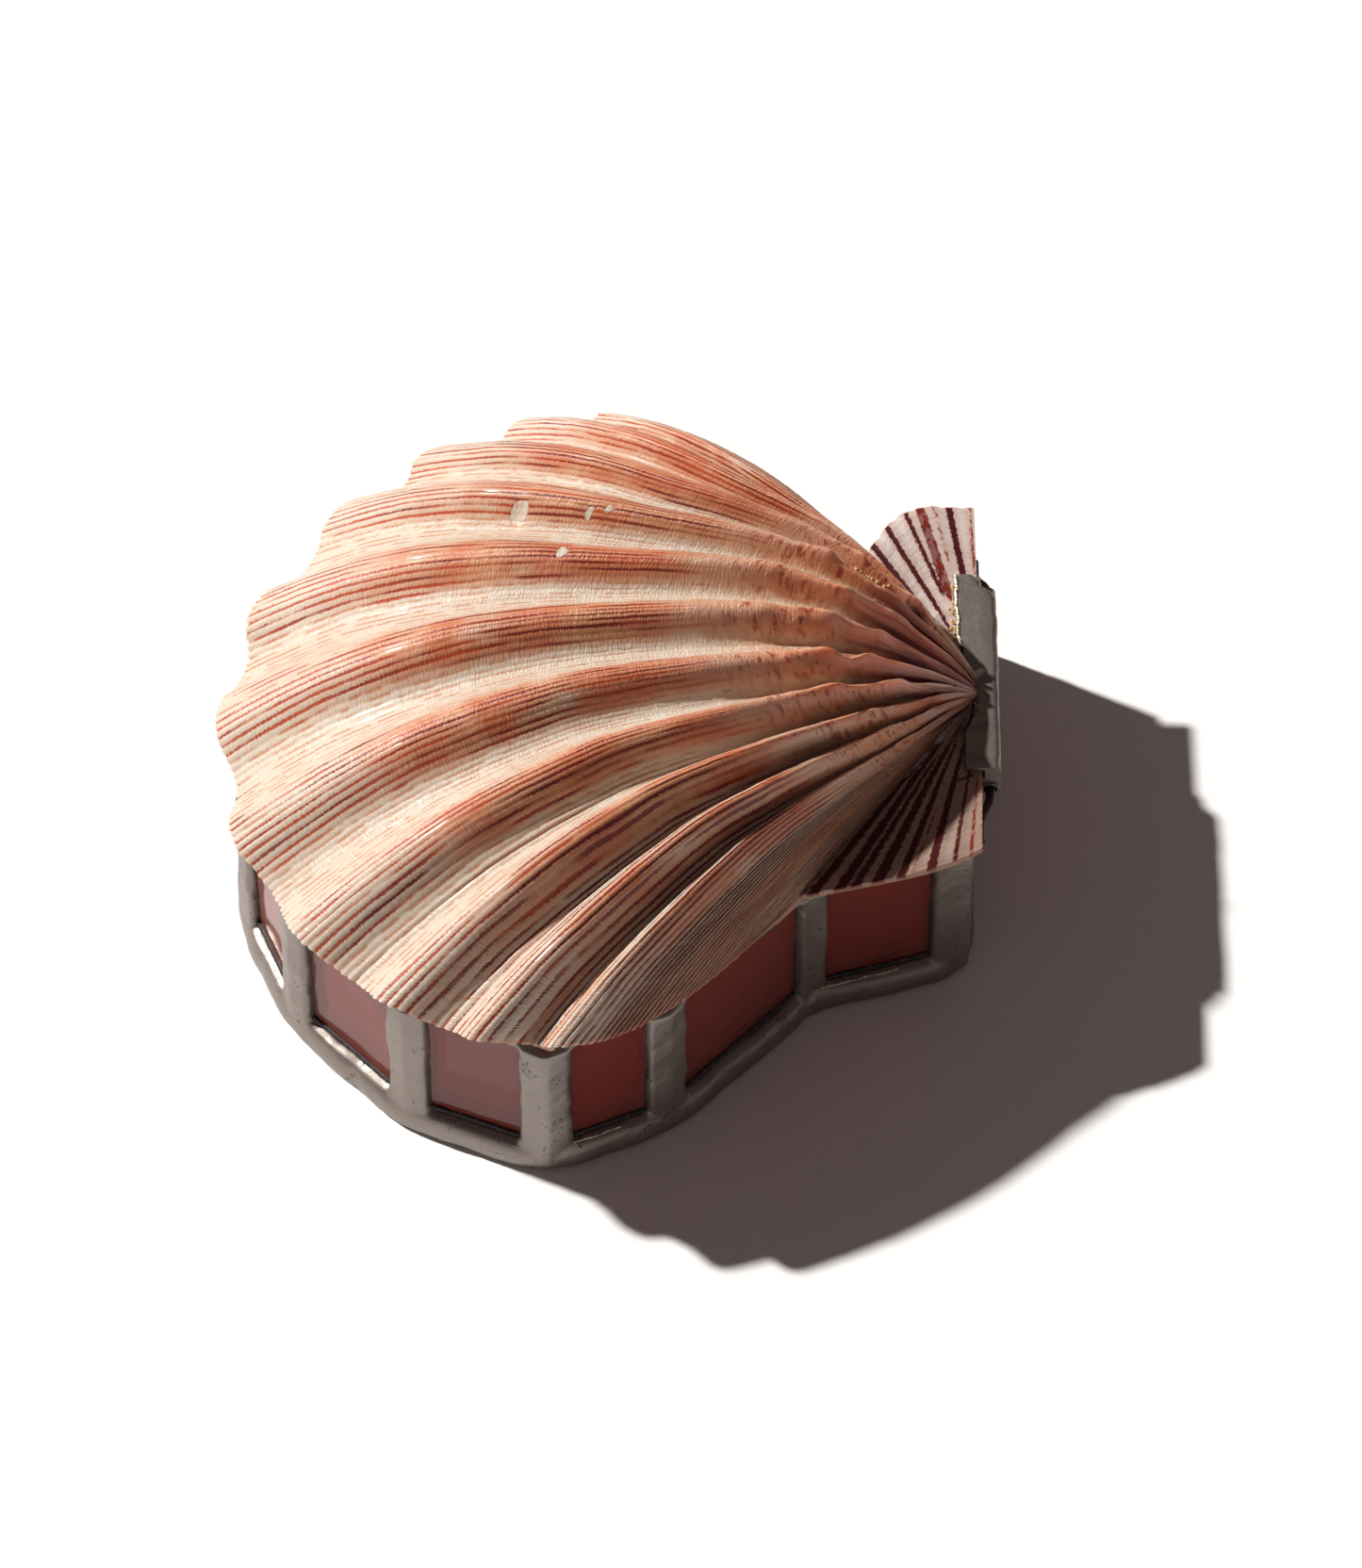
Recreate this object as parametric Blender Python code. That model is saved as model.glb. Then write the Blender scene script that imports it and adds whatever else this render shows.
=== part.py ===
"""Trinket box: glass panes in a soldered frame, with a ribbed scallop shell as its hinged lid.

Units are metres, +Z is up. The origin is on the table, under the centre of the shell's round disc.
The hinge is at the back (+Y) and the shell's front margin is at -Y.
"""
import itertools
import math

import bpy
from mathutils import Vector

MM = 0.001

# Shell: the disc is round and the beak, where all ribs start, stands behind its middle
DISC_RADIUS = 61 * MM
BEAK_X = -0.1082 * DISC_RADIUS
BEAK_Y = 0.936 * DISC_RADIUS
DOME_HEIGHT = 0.397 * DISC_RADIUS
DOME_PEAK = 0.44
DOME_RISE = 2.67
DOME_FALL = 2.59
ARCH_WIDTH = 1.62
NEAR_ARCH_ROUND = 0.835
FAR_ARCH_ROUND = 0.64
SHELL_THICKNESS = 2.2 * MM
MARGIN_THICKNESS = 1.4 * MM

# The disc's sides, which crease into the ears, and the rounded shoulders at their front ends
CREASE_ANGLE = math.radians(53.2)
BEAK_TILT = math.radians(3.1)
BEAK_WIDENING = 1.4
BEAK_BLUNTNESS = 0.03
SHOULDER_DRAW = 0.36
SHOULDER_ROUND = 10

# The margin isn't quite round: its reach as a share of the round one, by the lateral share
MARGIN_FORM = (
    (-1, 1.018), (-0.75, 0.993), (-0.5, 0.974), (-0.25, 0.976), (0, 0.99),
    (0.25, 1.004), (0.5, 1.004), (0.75, 0.994), (1, 0.988),
)

# Ribs are numbered from the middle one; RIB_EDGE is the number at the creases
RIB_EDGE = 6.85
RIB_ROUNDNESS = 1.1
RIB_FADE_START = 4.3
RIB_FADE_WIDTH = 1.6
RIB_DEPTH = 0.072 * DISC_RADIUS
MARGIN_RIB_DEPTH = 0.049 * DISC_RADIUS
RIBS_EVEN_GROWTH = 0.58
RIBS_DEEP_GROWTH = 0.45
MARGIN_SCALLOP = 1.3 * MM
SCALLOP_START = 0.55

# Ears: reach from the beak to their free edges
EAR_THICKNESS = 1.5 * MM
NEAR_EAR_REACH = 0.518 * DISC_RADIUS
NEAR_EAR_FLARE = 0.226
NEAR_EAR_ROUND = 0.08
FAR_EAR_REACH = 0.597 * DISC_RADIUS
FAR_NOTCH_REACH = 0.516 * DISC_RADIUS
FAR_EAR_ROUND = 0.03
HINGE_EDGE_ANGLE = math.radians(89.3)

# Knobs on the rib crests: rib number, share of the growth, height
KNOBS = (
    (-2, 0.155, 1.4 * MM),
    (-1, 0.12, 2.2 * MM),
    (0, 0.137, 1.9 * MM),
    (2, 0.127, 2.2 * MM),
    (-3, 0.25, 1.1 * MM),
    (-2, 0.27, 1.7 * MM),
    (-1, 0.205, 1.6 * MM),
    (0, 0.215, 1.3 * MM),
    (1, 0.225, 1.3 * MM),
    (2, 0.245, 1.3 * MM),
    (-1, 0.3, 0.8 * MM),
    (0, 0.295, 0.9 * MM),
)
KNOB_LENGTH = 2.6 * MM
KNOB_WIDTH = 0.24

# Mesh of the shell: columns run out from the beak, rows follow the growth lines
RIBBED_EDGE = 5
COLUMNS_PER_RIB = 6
FLANK_COLUMNS = 3
EAR_COLUMNS = 4
GROWTH_ROWS = 21

# Glass wall: its corners stand under the shell's margin, shoulders, notches and ears
WALL_HEIGHT = 33.0 * MM
GLASS_THICKNESS = 3.0 * MM
BASE_THICKNESS = 3.0 * MM
WALL_INSET = 2.7 * MM
FAR_WALL_INSET = 4.4 * MM
NEAR_DISC_CORNERS = (13, 33, 57.5, 80)
FAR_DISC_CORNERS = (-77, -54.5, -32)
FRONT_DISC_CORNER = -9.5
NEAR_SHOULDER = math.radians(49.1)
FAR_SHOULDER = math.radians(46.1)
NEAR_SHOULDER_INSET = 5.8 * MM
FAR_SHOULDER_INSET = 11.2 * MM
NEAR_NOTCH = math.radians(51.8)
NEAR_NOTCH_INSET = 3.9 * MM
FAR_NOTCH = math.radians(48)
FAR_NOTCH_OUTSET = 3.1 * MM
NEAR_BACK_INSET = 4.2 * MM
FAR_BACK_INSET = 2.6 * MM
BACK_WALL_GAP = 3.1 * MM

# Solder: posts over the pane ends, a thin top rim and a wide base rim
POST_COVER = 1.9 * MM
POST_BEVEL = 0.9 * MM
SOLDER_CORE = 0.9 * MM
SOLDER_BULGE = 1.5 * MM
SOLDER_EDGE = 0.67 * MM
BASE_RIM_HEIGHT = 5.8 * MM
BASE_RIM_BULGE = 1.9 * MM
TOP_RIM_HEIGHT = 1.8 * MM
GLASS_EDGE_COVER = 0.8 * MM
SHARP_HALF_TURN = math.radians(28)
CORNER_ROUNDING = 1.2 * MM

# Hinge: a folded sleeve on the shell's back edge, a tube under it and a wire rod through the tube
SLEEVE_LENGTH = 37.1 * MM
SLEEVE_OFFSET = 3.4 * MM
SLEEVE_SHEET = 0.7 * MM
SLEEVE_FRONT = 3.1 * MM
SLEEVE_BEAK_NOTCH = 8.6 * MM
BEAK_NOTCH_OFFSET = -0.7 * MM
TUBE_RADIUS = 1.6 * MM
TUBE_BORE = 1.1 * MM
TUBE_OVERHANG = 0.3 * MM
TUBE_BEHIND_RIM = 1.2 * MM
TUBE_SIDES = 20
ROD_RADIUS = 0.8 * MM
NEAR_ROD_OVERHANG = 1.6 * MM
FAR_ROD_OVERHANG = 0.9 * MM
NEAR_ROD_BEND_RUN = 5.5 * MM
FAR_ROD_BEND_RUN = 2.4 * MM
ROD_END_RUN = 3.0 * MM
ROD_BEND_RADIUS = 1.2 * MM

SEAT_GAP = 0.3 * MM
PIECE_GAP = 0.3 * MM
WELD_DISTANCE = 0.01 * MM

# The lid's level is the mean height of the shell's margin, whose rib troughs sit on the wall
MARGIN_REACH = BEAK_Y + DISC_RADIUS
MARGIN_SLOPE = math.atan(DOME_HEIGHT * DOME_FALL / ((1 - DOME_PEAK) * MARGIN_REACH))
MARGIN_DROP = MARGIN_RIB_DEPTH / 2 + MARGIN_THICKNESS * math.cos(MARGIN_SLOPE)
LID_LEVEL = WALL_HEIGHT + SEAT_GAP + MARGIN_DROP
EAR_BOTTOM = LID_LEVEL - EAR_THICKNESS
WALL_BACK_Y = BEAK_Y - BACK_WALL_GAP
EARS_BACK_Y = BEAK_Y + FAR_EAR_REACH * max(math.sin(HINGE_EDGE_ANGLE - math.pi / 2), 0.0)
SLEEVE_CENTRE_X = BEAK_X - SLEEVE_OFFSET
BEAK_NOTCH_X = BEAK_X + BEAK_NOTCH_OFFSET
HINGE_Y = WALL_BACK_Y + SOLDER_BULGE + TUBE_BEHIND_RIM + TUBE_RADIUS
HINGE_Z = EAR_BOTTOM - PIECE_GAP - SLEEVE_SHEET - PIECE_GAP - TUBE_RADIUS


def clear_scene():
    for thing in list(bpy.data.objects):
        bpy.data.objects.remove(thing, do_unlink=True)


def material(name, colour, roughness, metallic=0.0, transmission=0.0):
    mat = bpy.data.materials.new(name)
    mat.use_nodes = True
    shader = mat.node_tree.nodes["Principled BSDF"]
    shader.inputs["Base Color"].default_value = (*colour, 1.0)
    shader.inputs["Roughness"].default_value = roughness
    shader.inputs["Metallic"].default_value = metallic
    shader.inputs["Transmission Weight"].default_value = transmission
    mat.diffuse_color = (*colour, 1.0)
    return mat


def add_piece(name, points, faces, mat, smooth=False):
    mesh = bpy.data.meshes.new(name)
    mesh.from_pydata([tuple(p) for p in points], [], faces)
    mesh.update()
    piece = bpy.data.objects.new(name, mesh)
    bpy.context.scene.collection.objects.link(piece)
    if mat:
        mesh.materials.append(mat)
    if smooth:
        mesh.shade_smooth()
        mesh.set_sharp_from_angle(angle=math.radians(40))
    return piece


def hide_as_cutter(piece):
    piece.hide_render = True
    piece.display_type = 'WIRE'


def add_boolean(piece, operation, operand):
    cut = piece.modifiers.new(operation.lower(), 'BOOLEAN')
    cut.operation = operation
    cut.solver = 'EXACT'
    if isinstance(operand, bpy.types.Collection):
        cut.operand_type = 'COLLECTION'
        cut.collection = operand
    else:
        cut.object = operand


def group_of(name, pieces):
    group = bpy.data.collections.new(name)
    bpy.context.scene.collection.children.link(group)
    for piece in pieces:
        bpy.context.scene.collection.objects.unlink(piece)
        group.objects.link(piece)
        hide_as_cutter(piece)
    return group


def ease(share):
    share = min(max(share, 0.0), 1.0)
    return share * share * (3 - 2 * share)


# Form of the shell. Growth runs from 0 at the beak to 1 at the margin. The lateral share is 0 on
# the middle rib and 1 on the crease.

def crease_angle(growth):
    """The disc's edge beside the ears opens wider close to the blunt beak."""
    widening = 1 + BEAK_WIDENING * math.exp(-growth / BEAK_BLUNTNESS)
    return math.atan(math.tan(CREASE_ANGLE) * widening)


def lateral_share(rib, growth):
    """Ribs are even around the inflated umbo and even across the open disc."""
    at_margin = rib / RIB_EDGE
    at_umbo = math.sin(math.pi / 2 * at_margin)
    return at_umbo + (at_margin - at_umbo) * ease(growth / RIBS_EVEN_GROWTH)


def disc_angle(lateral, growth):
    tilt = BEAK_TILT * (1 - lateral * lateral)
    return math.atan(math.tan(crease_angle(growth)) * lateral) + tilt


def margin_form(lateral):
    for (low, low_share), (high, high_share) in zip(MARGIN_FORM, MARGIN_FORM[1:]):
        if lateral <= high:
            break
    return low_share + (high_share - low_share) * (lateral - low) / (high - low)


def margin_distance(lateral):
    """Distance from the beak to the margin, drawn in where the disc meets the ears."""
    angle = math.atan(math.tan(CREASE_ANGLE) * lateral) + BEAK_TILT * (1 - lateral * lateral)
    towards = BEAK_Y * math.cos(angle) - BEAK_X * math.sin(angle)
    offset_square = BEAK_X ** 2 + BEAK_Y ** 2 - DISC_RADIUS ** 2
    distance = towards + math.sqrt(towards ** 2 - offset_square)
    distance *= margin_form(lateral)
    return distance * (1 - SHOULDER_DRAW * abs(lateral) ** SHOULDER_ROUND)


def rib_fold(rib):
    """1 on a rib's crest and -1 in a trough, fading on the disc's steep flanks."""
    fade = 1 - ease((abs(rib) - RIB_FADE_START) / RIB_FADE_WIDTH)
    wave = math.sin(RIB_ROUNDNESS * math.cos(2 * math.pi * rib)) / math.sin(RIB_ROUNDNESS)
    return wave * fade


def rib_depth(rib, growth):
    """Shallow at the beak, most of all where the ribs crowd together at its sides."""
    young = RIB_DEPTH * ease(growth / 0.4 + 0.08)
    crowding = 1 - math.cos(math.pi / 2 * rib / RIB_EDGE)
    young *= 1 - crowding * (1 - ease(growth / RIBS_DEEP_GROWTH))
    return young + (MARGIN_RIB_DEPTH - RIB_DEPTH) * ease((growth - 0.7) / 0.3)


def dome_height(lateral, growth):
    """Steep from the beak to the umbo, highest before the middle, round down to the margin."""
    if growth < DOME_PEAK:
        profile = 1 - ((DOME_PEAK - growth) / DOME_PEAK) ** DOME_RISE
    else:
        profile = 1 - ((growth - DOME_PEAK) / (1 - DOME_PEAK)) ** DOME_FALL
    arch_round = FAR_ARCH_ROUND if lateral < 0 else NEAR_ARCH_ROUND
    arch = max(1 - abs(lateral) ** ARCH_WIDTH, 0.0) ** arch_round
    return DOME_HEIGHT * profile * arch


def knob_height(rib, growth):
    total = 0.0
    for knob_rib, knob_growth, height in KNOBS:
        along = (growth - knob_growth) * MARGIN_REACH / KNOB_LENGTH
        across = (rib - knob_rib) / KNOB_WIDTH
        total += height * math.exp(-along * along - across * across)
    return total


def from_beak(angle, distance, height):
    x = BEAK_X + distance * math.sin(angle)
    y = BEAK_Y - distance * math.cos(angle)
    return Vector((x, y, height))


def disc_point(rib, growth, with_knobs=True):
    lateral = lateral_share(rib, growth)
    fold = rib_fold(rib)
    distance = growth * margin_distance(lateral)
    distance += MARGIN_SCALLOP * fold * max(growth - SCALLOP_START, 0.0) / (1 - SCALLOP_START)
    height = LID_LEVEL + dome_height(lateral, growth)
    height += fold * rib_depth(rib, growth) / 2 * min(growth / 0.05, 1.0)
    if with_knobs:
        height += knob_height(rib, growth)
    return from_beak(disc_angle(lateral, growth), distance, height)


def ear_distance(side, turn):
    """Reach of an ear from the beak. turn is 0 at the crease and 1 at the hinge edge."""
    angle = CREASE_ANGLE + (HINGE_EDGE_ANGLE - CREASE_ANGLE) * turn
    if side > 0:
        straight = NEAR_EAR_REACH / (math.sin(angle) - NEAR_EAR_FLARE * math.cos(angle))
        return straight * (1 - NEAR_EAR_ROUND * max((turn - 0.2) / 0.8, 0.0) ** 3)
    reach = FAR_NOTCH_REACH + (FAR_EAR_REACH - FAR_NOTCH_REACH) * ease(turn / 0.55)
    return reach * (1 - FAR_EAR_ROUND * ease((turn - 0.6) / 0.4))


def ear_point(side, turn, growth):
    start = crease_angle(growth)
    angle = start + (HINGE_EDGE_ANGLE - start) * turn
    return from_beak(side * angle, growth * ear_distance(side, turn), LID_LEVEL)


def growth_rows():
    rows = []
    for j in range(1, GROWTH_ROWS + 1):
        share = j / GROWTH_ROWS
        rows.append(share ** 2 * (1.45 - 0.45 * share))
    return rows


def shell_columns():
    """Each column as (kind, value): ears from the hinge edge inwards, the disc in between."""
    flank = [RIBBED_EDGE + (RIB_EDGE - RIBBED_EDGE) * (i + 1) / FLANK_COLUMNS
             for i in range(FLANK_COLUMNS)]
    steps = RIBBED_EDGE * COLUMNS_PER_RIB
    ribs = [-rib for rib in reversed(flank)]
    ribs += [i / COLUMNS_PER_RIB for i in range(-steps, steps + 1)]
    ribs += flank
    turns = [((i + 1) / EAR_COLUMNS) ** 1.5 for i in range(EAR_COLUMNS)]
    columns = [("far ear", turn) for turn in reversed(turns)]
    columns += [("disc", rib) for rib in ribs]
    columns += [("near ear", turn) for turn in turns]
    return columns


def shell_top(column, growth, with_knobs=True):
    kind, value = column
    if kind == "disc":
        return disc_point(value, growth, with_knobs)
    return ear_point(1 if kind == "near ear" else -1, value, growth)


def wall_thickness(column, growth):
    if column[0] != "disc":
        return EAR_THICKNESS
    return SHELL_THICKNESS + (MARGIN_THICKNESS - SHELL_THICKNESS) * ease((growth - 0.6) / 0.4)


def grid_normal(grid, i, j):
    """Upward normal of a grid of points, from the neighbours of point i, j."""
    across = grid[min(i + 1, len(grid) - 1)][j] - grid[max(i - 1, 0)][j]
    along = grid[i][min(j + 1, len(grid[0]) - 1)] - grid[i][max(j - 1, 0)]
    normal = along.cross(across).normalized()
    return normal if normal.z > 0 else -normal


def make_shell(mat):
    columns = shell_columns()
    rows = growth_rows()
    smooth = [[shell_top(c, g, with_knobs=False) for g in rows] for c in columns]
    points = [Vector((BEAK_X, BEAK_Y, LID_LEVEL)), Vector((BEAK_X, BEAK_Y, EAR_BOTTOM))]
    for column in columns:
        for growth in rows:
            points.append(shell_top(column, growth))
    for i, column in enumerate(columns):
        for j, growth in enumerate(rows):
            inner = smooth[i][j] - grid_normal(smooth, i, j) * wall_thickness(column, growth)
            points.append(inner)
    count = len(rows)
    under = 2 + len(columns) * count

    def top(i, j):
        return 2 + i * count + j

    def bottom(i, j):
        return under + i * count + j

    faces = []
    last = len(columns) - 1
    for i in range(last):
        faces.append((0, top(i, 0), top(i + 1, 0)))
        faces.append((1, bottom(i + 1, 0), bottom(i, 0)))
        for j in range(count - 1):
            faces.append((top(i, j), top(i, j + 1), top(i + 1, j + 1), top(i + 1, j)))
            faces.append((bottom(i, j), bottom(i + 1, j), bottom(i + 1, j + 1), bottom(i, j + 1)))
        end = count - 1
        faces.append((top(i, end), bottom(i, end), bottom(i + 1, end), top(i + 1, end)))
    for j in range(count - 1):
        faces.append((top(0, j), bottom(0, j), bottom(0, j + 1), top(0, j + 1)))
        faces.append((top(last, j), top(last, j + 1), bottom(last, j + 1), bottom(last, j)))
    faces.append((0, 1, bottom(0, 0), top(0, 0)))
    faces.append((0, top(last, 0), bottom(last, 0), 1))
    return add_piece("scallop_shell", points, faces, mat, smooth=True)


# Wall: a closed polygon of glass, drawn as the outer face of its panes, counterclockwise from
# the front

def on_disc(degrees, inset):
    angle = math.radians(degrees)
    radius = DISC_RADIUS - inset
    return Vector((radius * math.sin(angle), -radius * math.cos(angle)))


def under_shoulder(side, angle, inset):
    lateral = side * math.tan(angle) / math.tan(CREASE_ANGLE)
    return from_beak(side * angle, margin_distance(lateral) - inset, 0).to_2d()


def wall_corners():
    near_notch = from_beak(NEAR_NOTCH, ear_distance(1, 0.0) - NEAR_NOTCH_INSET, 0)
    far_notch = from_beak(-FAR_NOTCH, FAR_NOTCH_REACH + FAR_NOTCH_OUTSET, 0)
    corners = [on_disc(degrees, WALL_INSET) for degrees in NEAR_DISC_CORNERS]
    corners.append(under_shoulder(1, NEAR_SHOULDER, NEAR_SHOULDER_INSET))
    corners.append(near_notch.to_2d())
    corners.append(Vector((BEAK_X + NEAR_EAR_REACH - NEAR_BACK_INSET, WALL_BACK_Y)))
    corners.append(Vector((BEAK_X - FAR_EAR_REACH + FAR_BACK_INSET, WALL_BACK_Y)))
    corners.append(far_notch.to_2d())
    corners.append(under_shoulder(-1, FAR_SHOULDER, FAR_SHOULDER_INSET))
    corners += [on_disc(degrees, FAR_WALL_INSET) for degrees in FAR_DISC_CORNERS]
    corners.append(on_disc(FRONT_DISC_CORNER, WALL_INSET))
    return corners


def outward(start, end):
    step = (end - start).normalized()
    return Vector((step.y, -step.x))


class Corner:
    """One corner of the wall, with the directions of both its panes."""

    def __init__(self, corners, index):
        self.point = corners[index]
        before = corners[index - 1]
        after = corners[(index + 1) % len(corners)]
        self.back = (before - self.point).normalized()
        self.ahead = (after - self.point).normalized()
        self.normal_back = outward(before, self.point)
        self.normal_ahead = outward(self.point, after)
        bisector = (self.normal_back + self.normal_ahead).normalized()
        self.mitre = bisector / bisector.dot(self.normal_ahead)
        convex = self.ahead.x * self.back.y > self.ahead.y * self.back.x
        half_turn = math.acos(min(bisector.dot(self.normal_ahead), 1.0))
        lean = math.tan(half_turn) * GLASS_THICKNESS
        self.glass_end = SOLDER_CORE + (lean if convex else 0.0)
        self.sharp = convex and half_turn > SHARP_HALF_TURN
        self.bisector = bisector

    def offset(self, distance):
        return self.point + self.mitre * distance

    def offsets(self, distance):
        """The corner's points at a distance outside the glass: sharp corners are rounded."""
        if not self.sharp:
            return [self.offset(distance)]
        start = self.offset(min(distance, 0.0))
        out = max(distance, 0.0)
        return [
            start + self.back * CORNER_ROUNDING + self.normal_back * out,
            start + self.bisector * out,
            start + self.ahead * CORNER_ROUNDING + self.normal_ahead * out,
        ]


def add_ring(name, corners, section):
    """A section of (offset from the glass's outer face, height) swept around the wall."""
    size = len(section)
    points = []
    for corner in corners:
        columns = zip(*[corner.offsets(distance) for distance, height in section])
        for column in columns:
            for place, (distance, height) in zip(column, section):
                points.append(Vector((place.x, place.y, height)))
    count = len(points) // size
    faces = []
    for i in range(count):
        for j in range(size):
            a = i * size + j
            b = i * size + (j + 1) % size
            c = ((i + 1) % count) * size + (j + 1) % size
            d = ((i + 1) % count) * size + j
            faces.append((a, d, c, b))
    return add_piece(name, points, faces, None)


def base_rim_section():
    inner = -GLASS_THICKNESS
    top = BASE_RIM_HEIGHT
    bulge = BASE_RIM_BULGE
    return (
        (inner - 0.5 * bulge, 0.0),
        (0.7 * bulge, 0.0),
        (bulge, 0.22 * top),
        (bulge, 0.55 * top),
        (0.75 * bulge, 0.86 * top),
        (0.3 * bulge, top),
        (inner - 0.3 * bulge, top),
        (inner - 0.65 * bulge, 0.8 * top),
        (inner - 0.65 * bulge, 0.2 * top),
    )


def top_rim_section():
    inner = -GLASS_THICKNESS
    low = WALL_HEIGHT - TOP_RIM_HEIGHT
    bulge = SOLDER_BULGE
    return (
        (inner - 0.4 * bulge, low),
        (0.4 * bulge, low),
        (0.86 * bulge, low + 0.25 * TOP_RIM_HEIGHT),
        (bulge, low + 0.54 * TOP_RIM_HEIGHT),
        (0.6 * bulge, low + 0.92 * TOP_RIM_HEIGHT),
        (0.0, WALL_HEIGHT),
        (inner, WALL_HEIGHT),
        (inner - 0.7 * bulge, low + 0.85 * TOP_RIM_HEIGHT),
        (inner - 0.8 * bulge, low + 0.4 * TOP_RIM_HEIGHT),
    )


def post_outline(corner):
    """A post laps over the ends of both panes, outside and inside the glass."""
    inner = -GLASS_THICKNESS
    width = corner.glass_end + POST_COVER
    inner_width = width + (corner.glass_end - SOLDER_CORE) * 0.3
    point = corner.point
    outline = [
        point + corner.back * width + corner.normal_back * SOLDER_EDGE,
        point + corner.back * (width - POST_BEVEL) + corner.normal_back * SOLDER_BULGE * 0.9,
        *corner.offsets(0.93 * SOLDER_BULGE),
        point + corner.ahead * (width - POST_BEVEL) + corner.normal_ahead * SOLDER_BULGE * 0.9,
        point + corner.ahead * width + corner.normal_ahead * SOLDER_EDGE,
        point + corner.ahead * inner_width + corner.normal_ahead * (inner - SOLDER_EDGE),
        corner.offset(inner - SOLDER_BULGE),
        point + corner.back * inner_width + corner.normal_back * (inner - SOLDER_EDGE),
    ]
    return outline


def prism_faces(count):
    faces = [tuple(range(count - 1, -1, -1)), tuple(range(count, 2 * count))]
    for i in range(count):
        j = (i + 1) % count
        faces.append((i, j, count + j, count + i))
    return faces


def add_prism(name, outline, low, high, mat=None):
    points = [Vector((p.x, p.y, low)) for p in outline]
    points += [Vector((p.x, p.y, high)) for p in outline]
    return add_piece(name, points, prism_faces(len(outline)), mat)


def pane_outline(start, end, grow):
    """The plan of one pane, between its two corners, grown on every side for its slot."""
    low = start.point + start.ahead * (start.glass_end - grow)
    high = end.point + end.back * (end.glass_end - grow)
    out = start.normal_ahead * grow
    back = start.normal_ahead * (GLASS_THICKNESS + grow)
    return [low + out, low - back, high - back, high + out]


def make_panes(corners, mat):
    low = BASE_RIM_HEIGHT - GLASS_EDGE_COVER
    high = WALL_HEIGHT - TOP_RIM_HEIGHT + GLASS_EDGE_COVER
    slots = []
    for i, start in enumerate(corners):
        end = corners[(i + 1) % len(corners)]
        add_prism("glass_pane_%02d" % (i + 1), pane_outline(start, end, 0.0)[::-1], low, high, mat)
        outline = pane_outline(start, end, PIECE_GAP)[::-1]
        slots.append(add_prism("slot_%02d" % (i + 1), outline, low - PIECE_GAP, high + PIECE_GAP))
    return slots


def make_frame(corners, slots, mat):
    frame = add_ring("solder_frame", corners, base_rim_section())
    frame.data.materials.append(mat)
    post_low = 0.3 * BASE_RIM_HEIGHT
    post_high = WALL_HEIGHT - 0.3 * TOP_RIM_HEIGHT
    parts = []
    for i, corner in enumerate(corners):
        outline = post_outline(corner)
        parts.append(add_prism("post_%02d" % (i + 1), outline, post_low, post_high))
    parts.append(add_ring("top_rim", corners, top_rim_section()))
    add_boolean(frame, 'UNION', group_of("frame_parts", parts))
    frame.modifiers.new("triangles", 'TRIANGULATE')
    add_boolean(frame, 'DIFFERENCE', group_of("frame_slots", slots))
    weld = frame.modifiers.new("weld", 'WELD')
    weld.merge_threshold = WELD_DISTANCE


def make_base(corners, mat):
    edge = -GLASS_THICKNESS - 0.65 * BASE_RIM_BULGE - PIECE_GAP
    outline = [corner.offset(edge) for corner in corners]
    add_prism("base_glass", outline, 0.0, BASE_THICKNESS, mat)


def make_sleeve(mat):
    """Tinned sheet folded around the ears' back edge, cut away around the beak."""
    back = EARS_BACK_Y + PIECE_GAP
    front = EARS_BACK_Y - SLEEVE_FRONT
    slot_low = EAR_BOTTOM - PIECE_GAP
    slot_high = LID_LEVEL + PIECE_GAP
    low = slot_low - SLEEVE_SHEET
    high = slot_high + SLEEVE_SHEET
    round_off = 0.5 * SLEEVE_SHEET
    profile = (
        (front, low),
        (back + SLEEVE_SHEET - round_off, low),
        (back + SLEEVE_SHEET, low + round_off),
        (back + SLEEVE_SHEET, high - 1.6 * round_off),
        (back + SLEEVE_SHEET - 1.6 * round_off, high),
        (front + 0.4 * round_off, high),
        (front, high - round_off),
        (front, slot_high),
        (back, slot_high),
        (back, slot_low),
        (front, slot_low),
    )
    points = []
    for x in (SLEEVE_CENTRE_X - SLEEVE_LENGTH / 2, SLEEVE_CENTRE_X + SLEEVE_LENGTH / 2):
        points += [Vector((x, y, z)) for y, z in profile]
    sleeve = add_piece("hinge_sleeve", points, prism_faces(len(profile)), mat)
    notch = []
    for i in range(16):
        turn = 2 * math.pi * i / 16
        x = BEAK_NOTCH_X + SLEEVE_BEAK_NOTCH * math.cos(turn)
        y = front + (BEAK_Y + 0.5 * PIECE_GAP - front) * math.sin(turn)
        notch.append(Vector((x, y)))
    cutter = add_prism("beak_notch", notch, LID_LEVEL - 0.5 * PIECE_GAP, high + SLEEVE_SHEET)
    hide_as_cutter(cutter)
    add_boolean(sleeve, 'DIFFERENCE', cutter)
    return sleeve


def circle_profile(radius, sides, y, z):
    turns = [2 * math.pi * i / sides for i in range(sides)]
    return [(y + radius * math.cos(t), z + radius * math.sin(t)) for t in turns]


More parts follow.
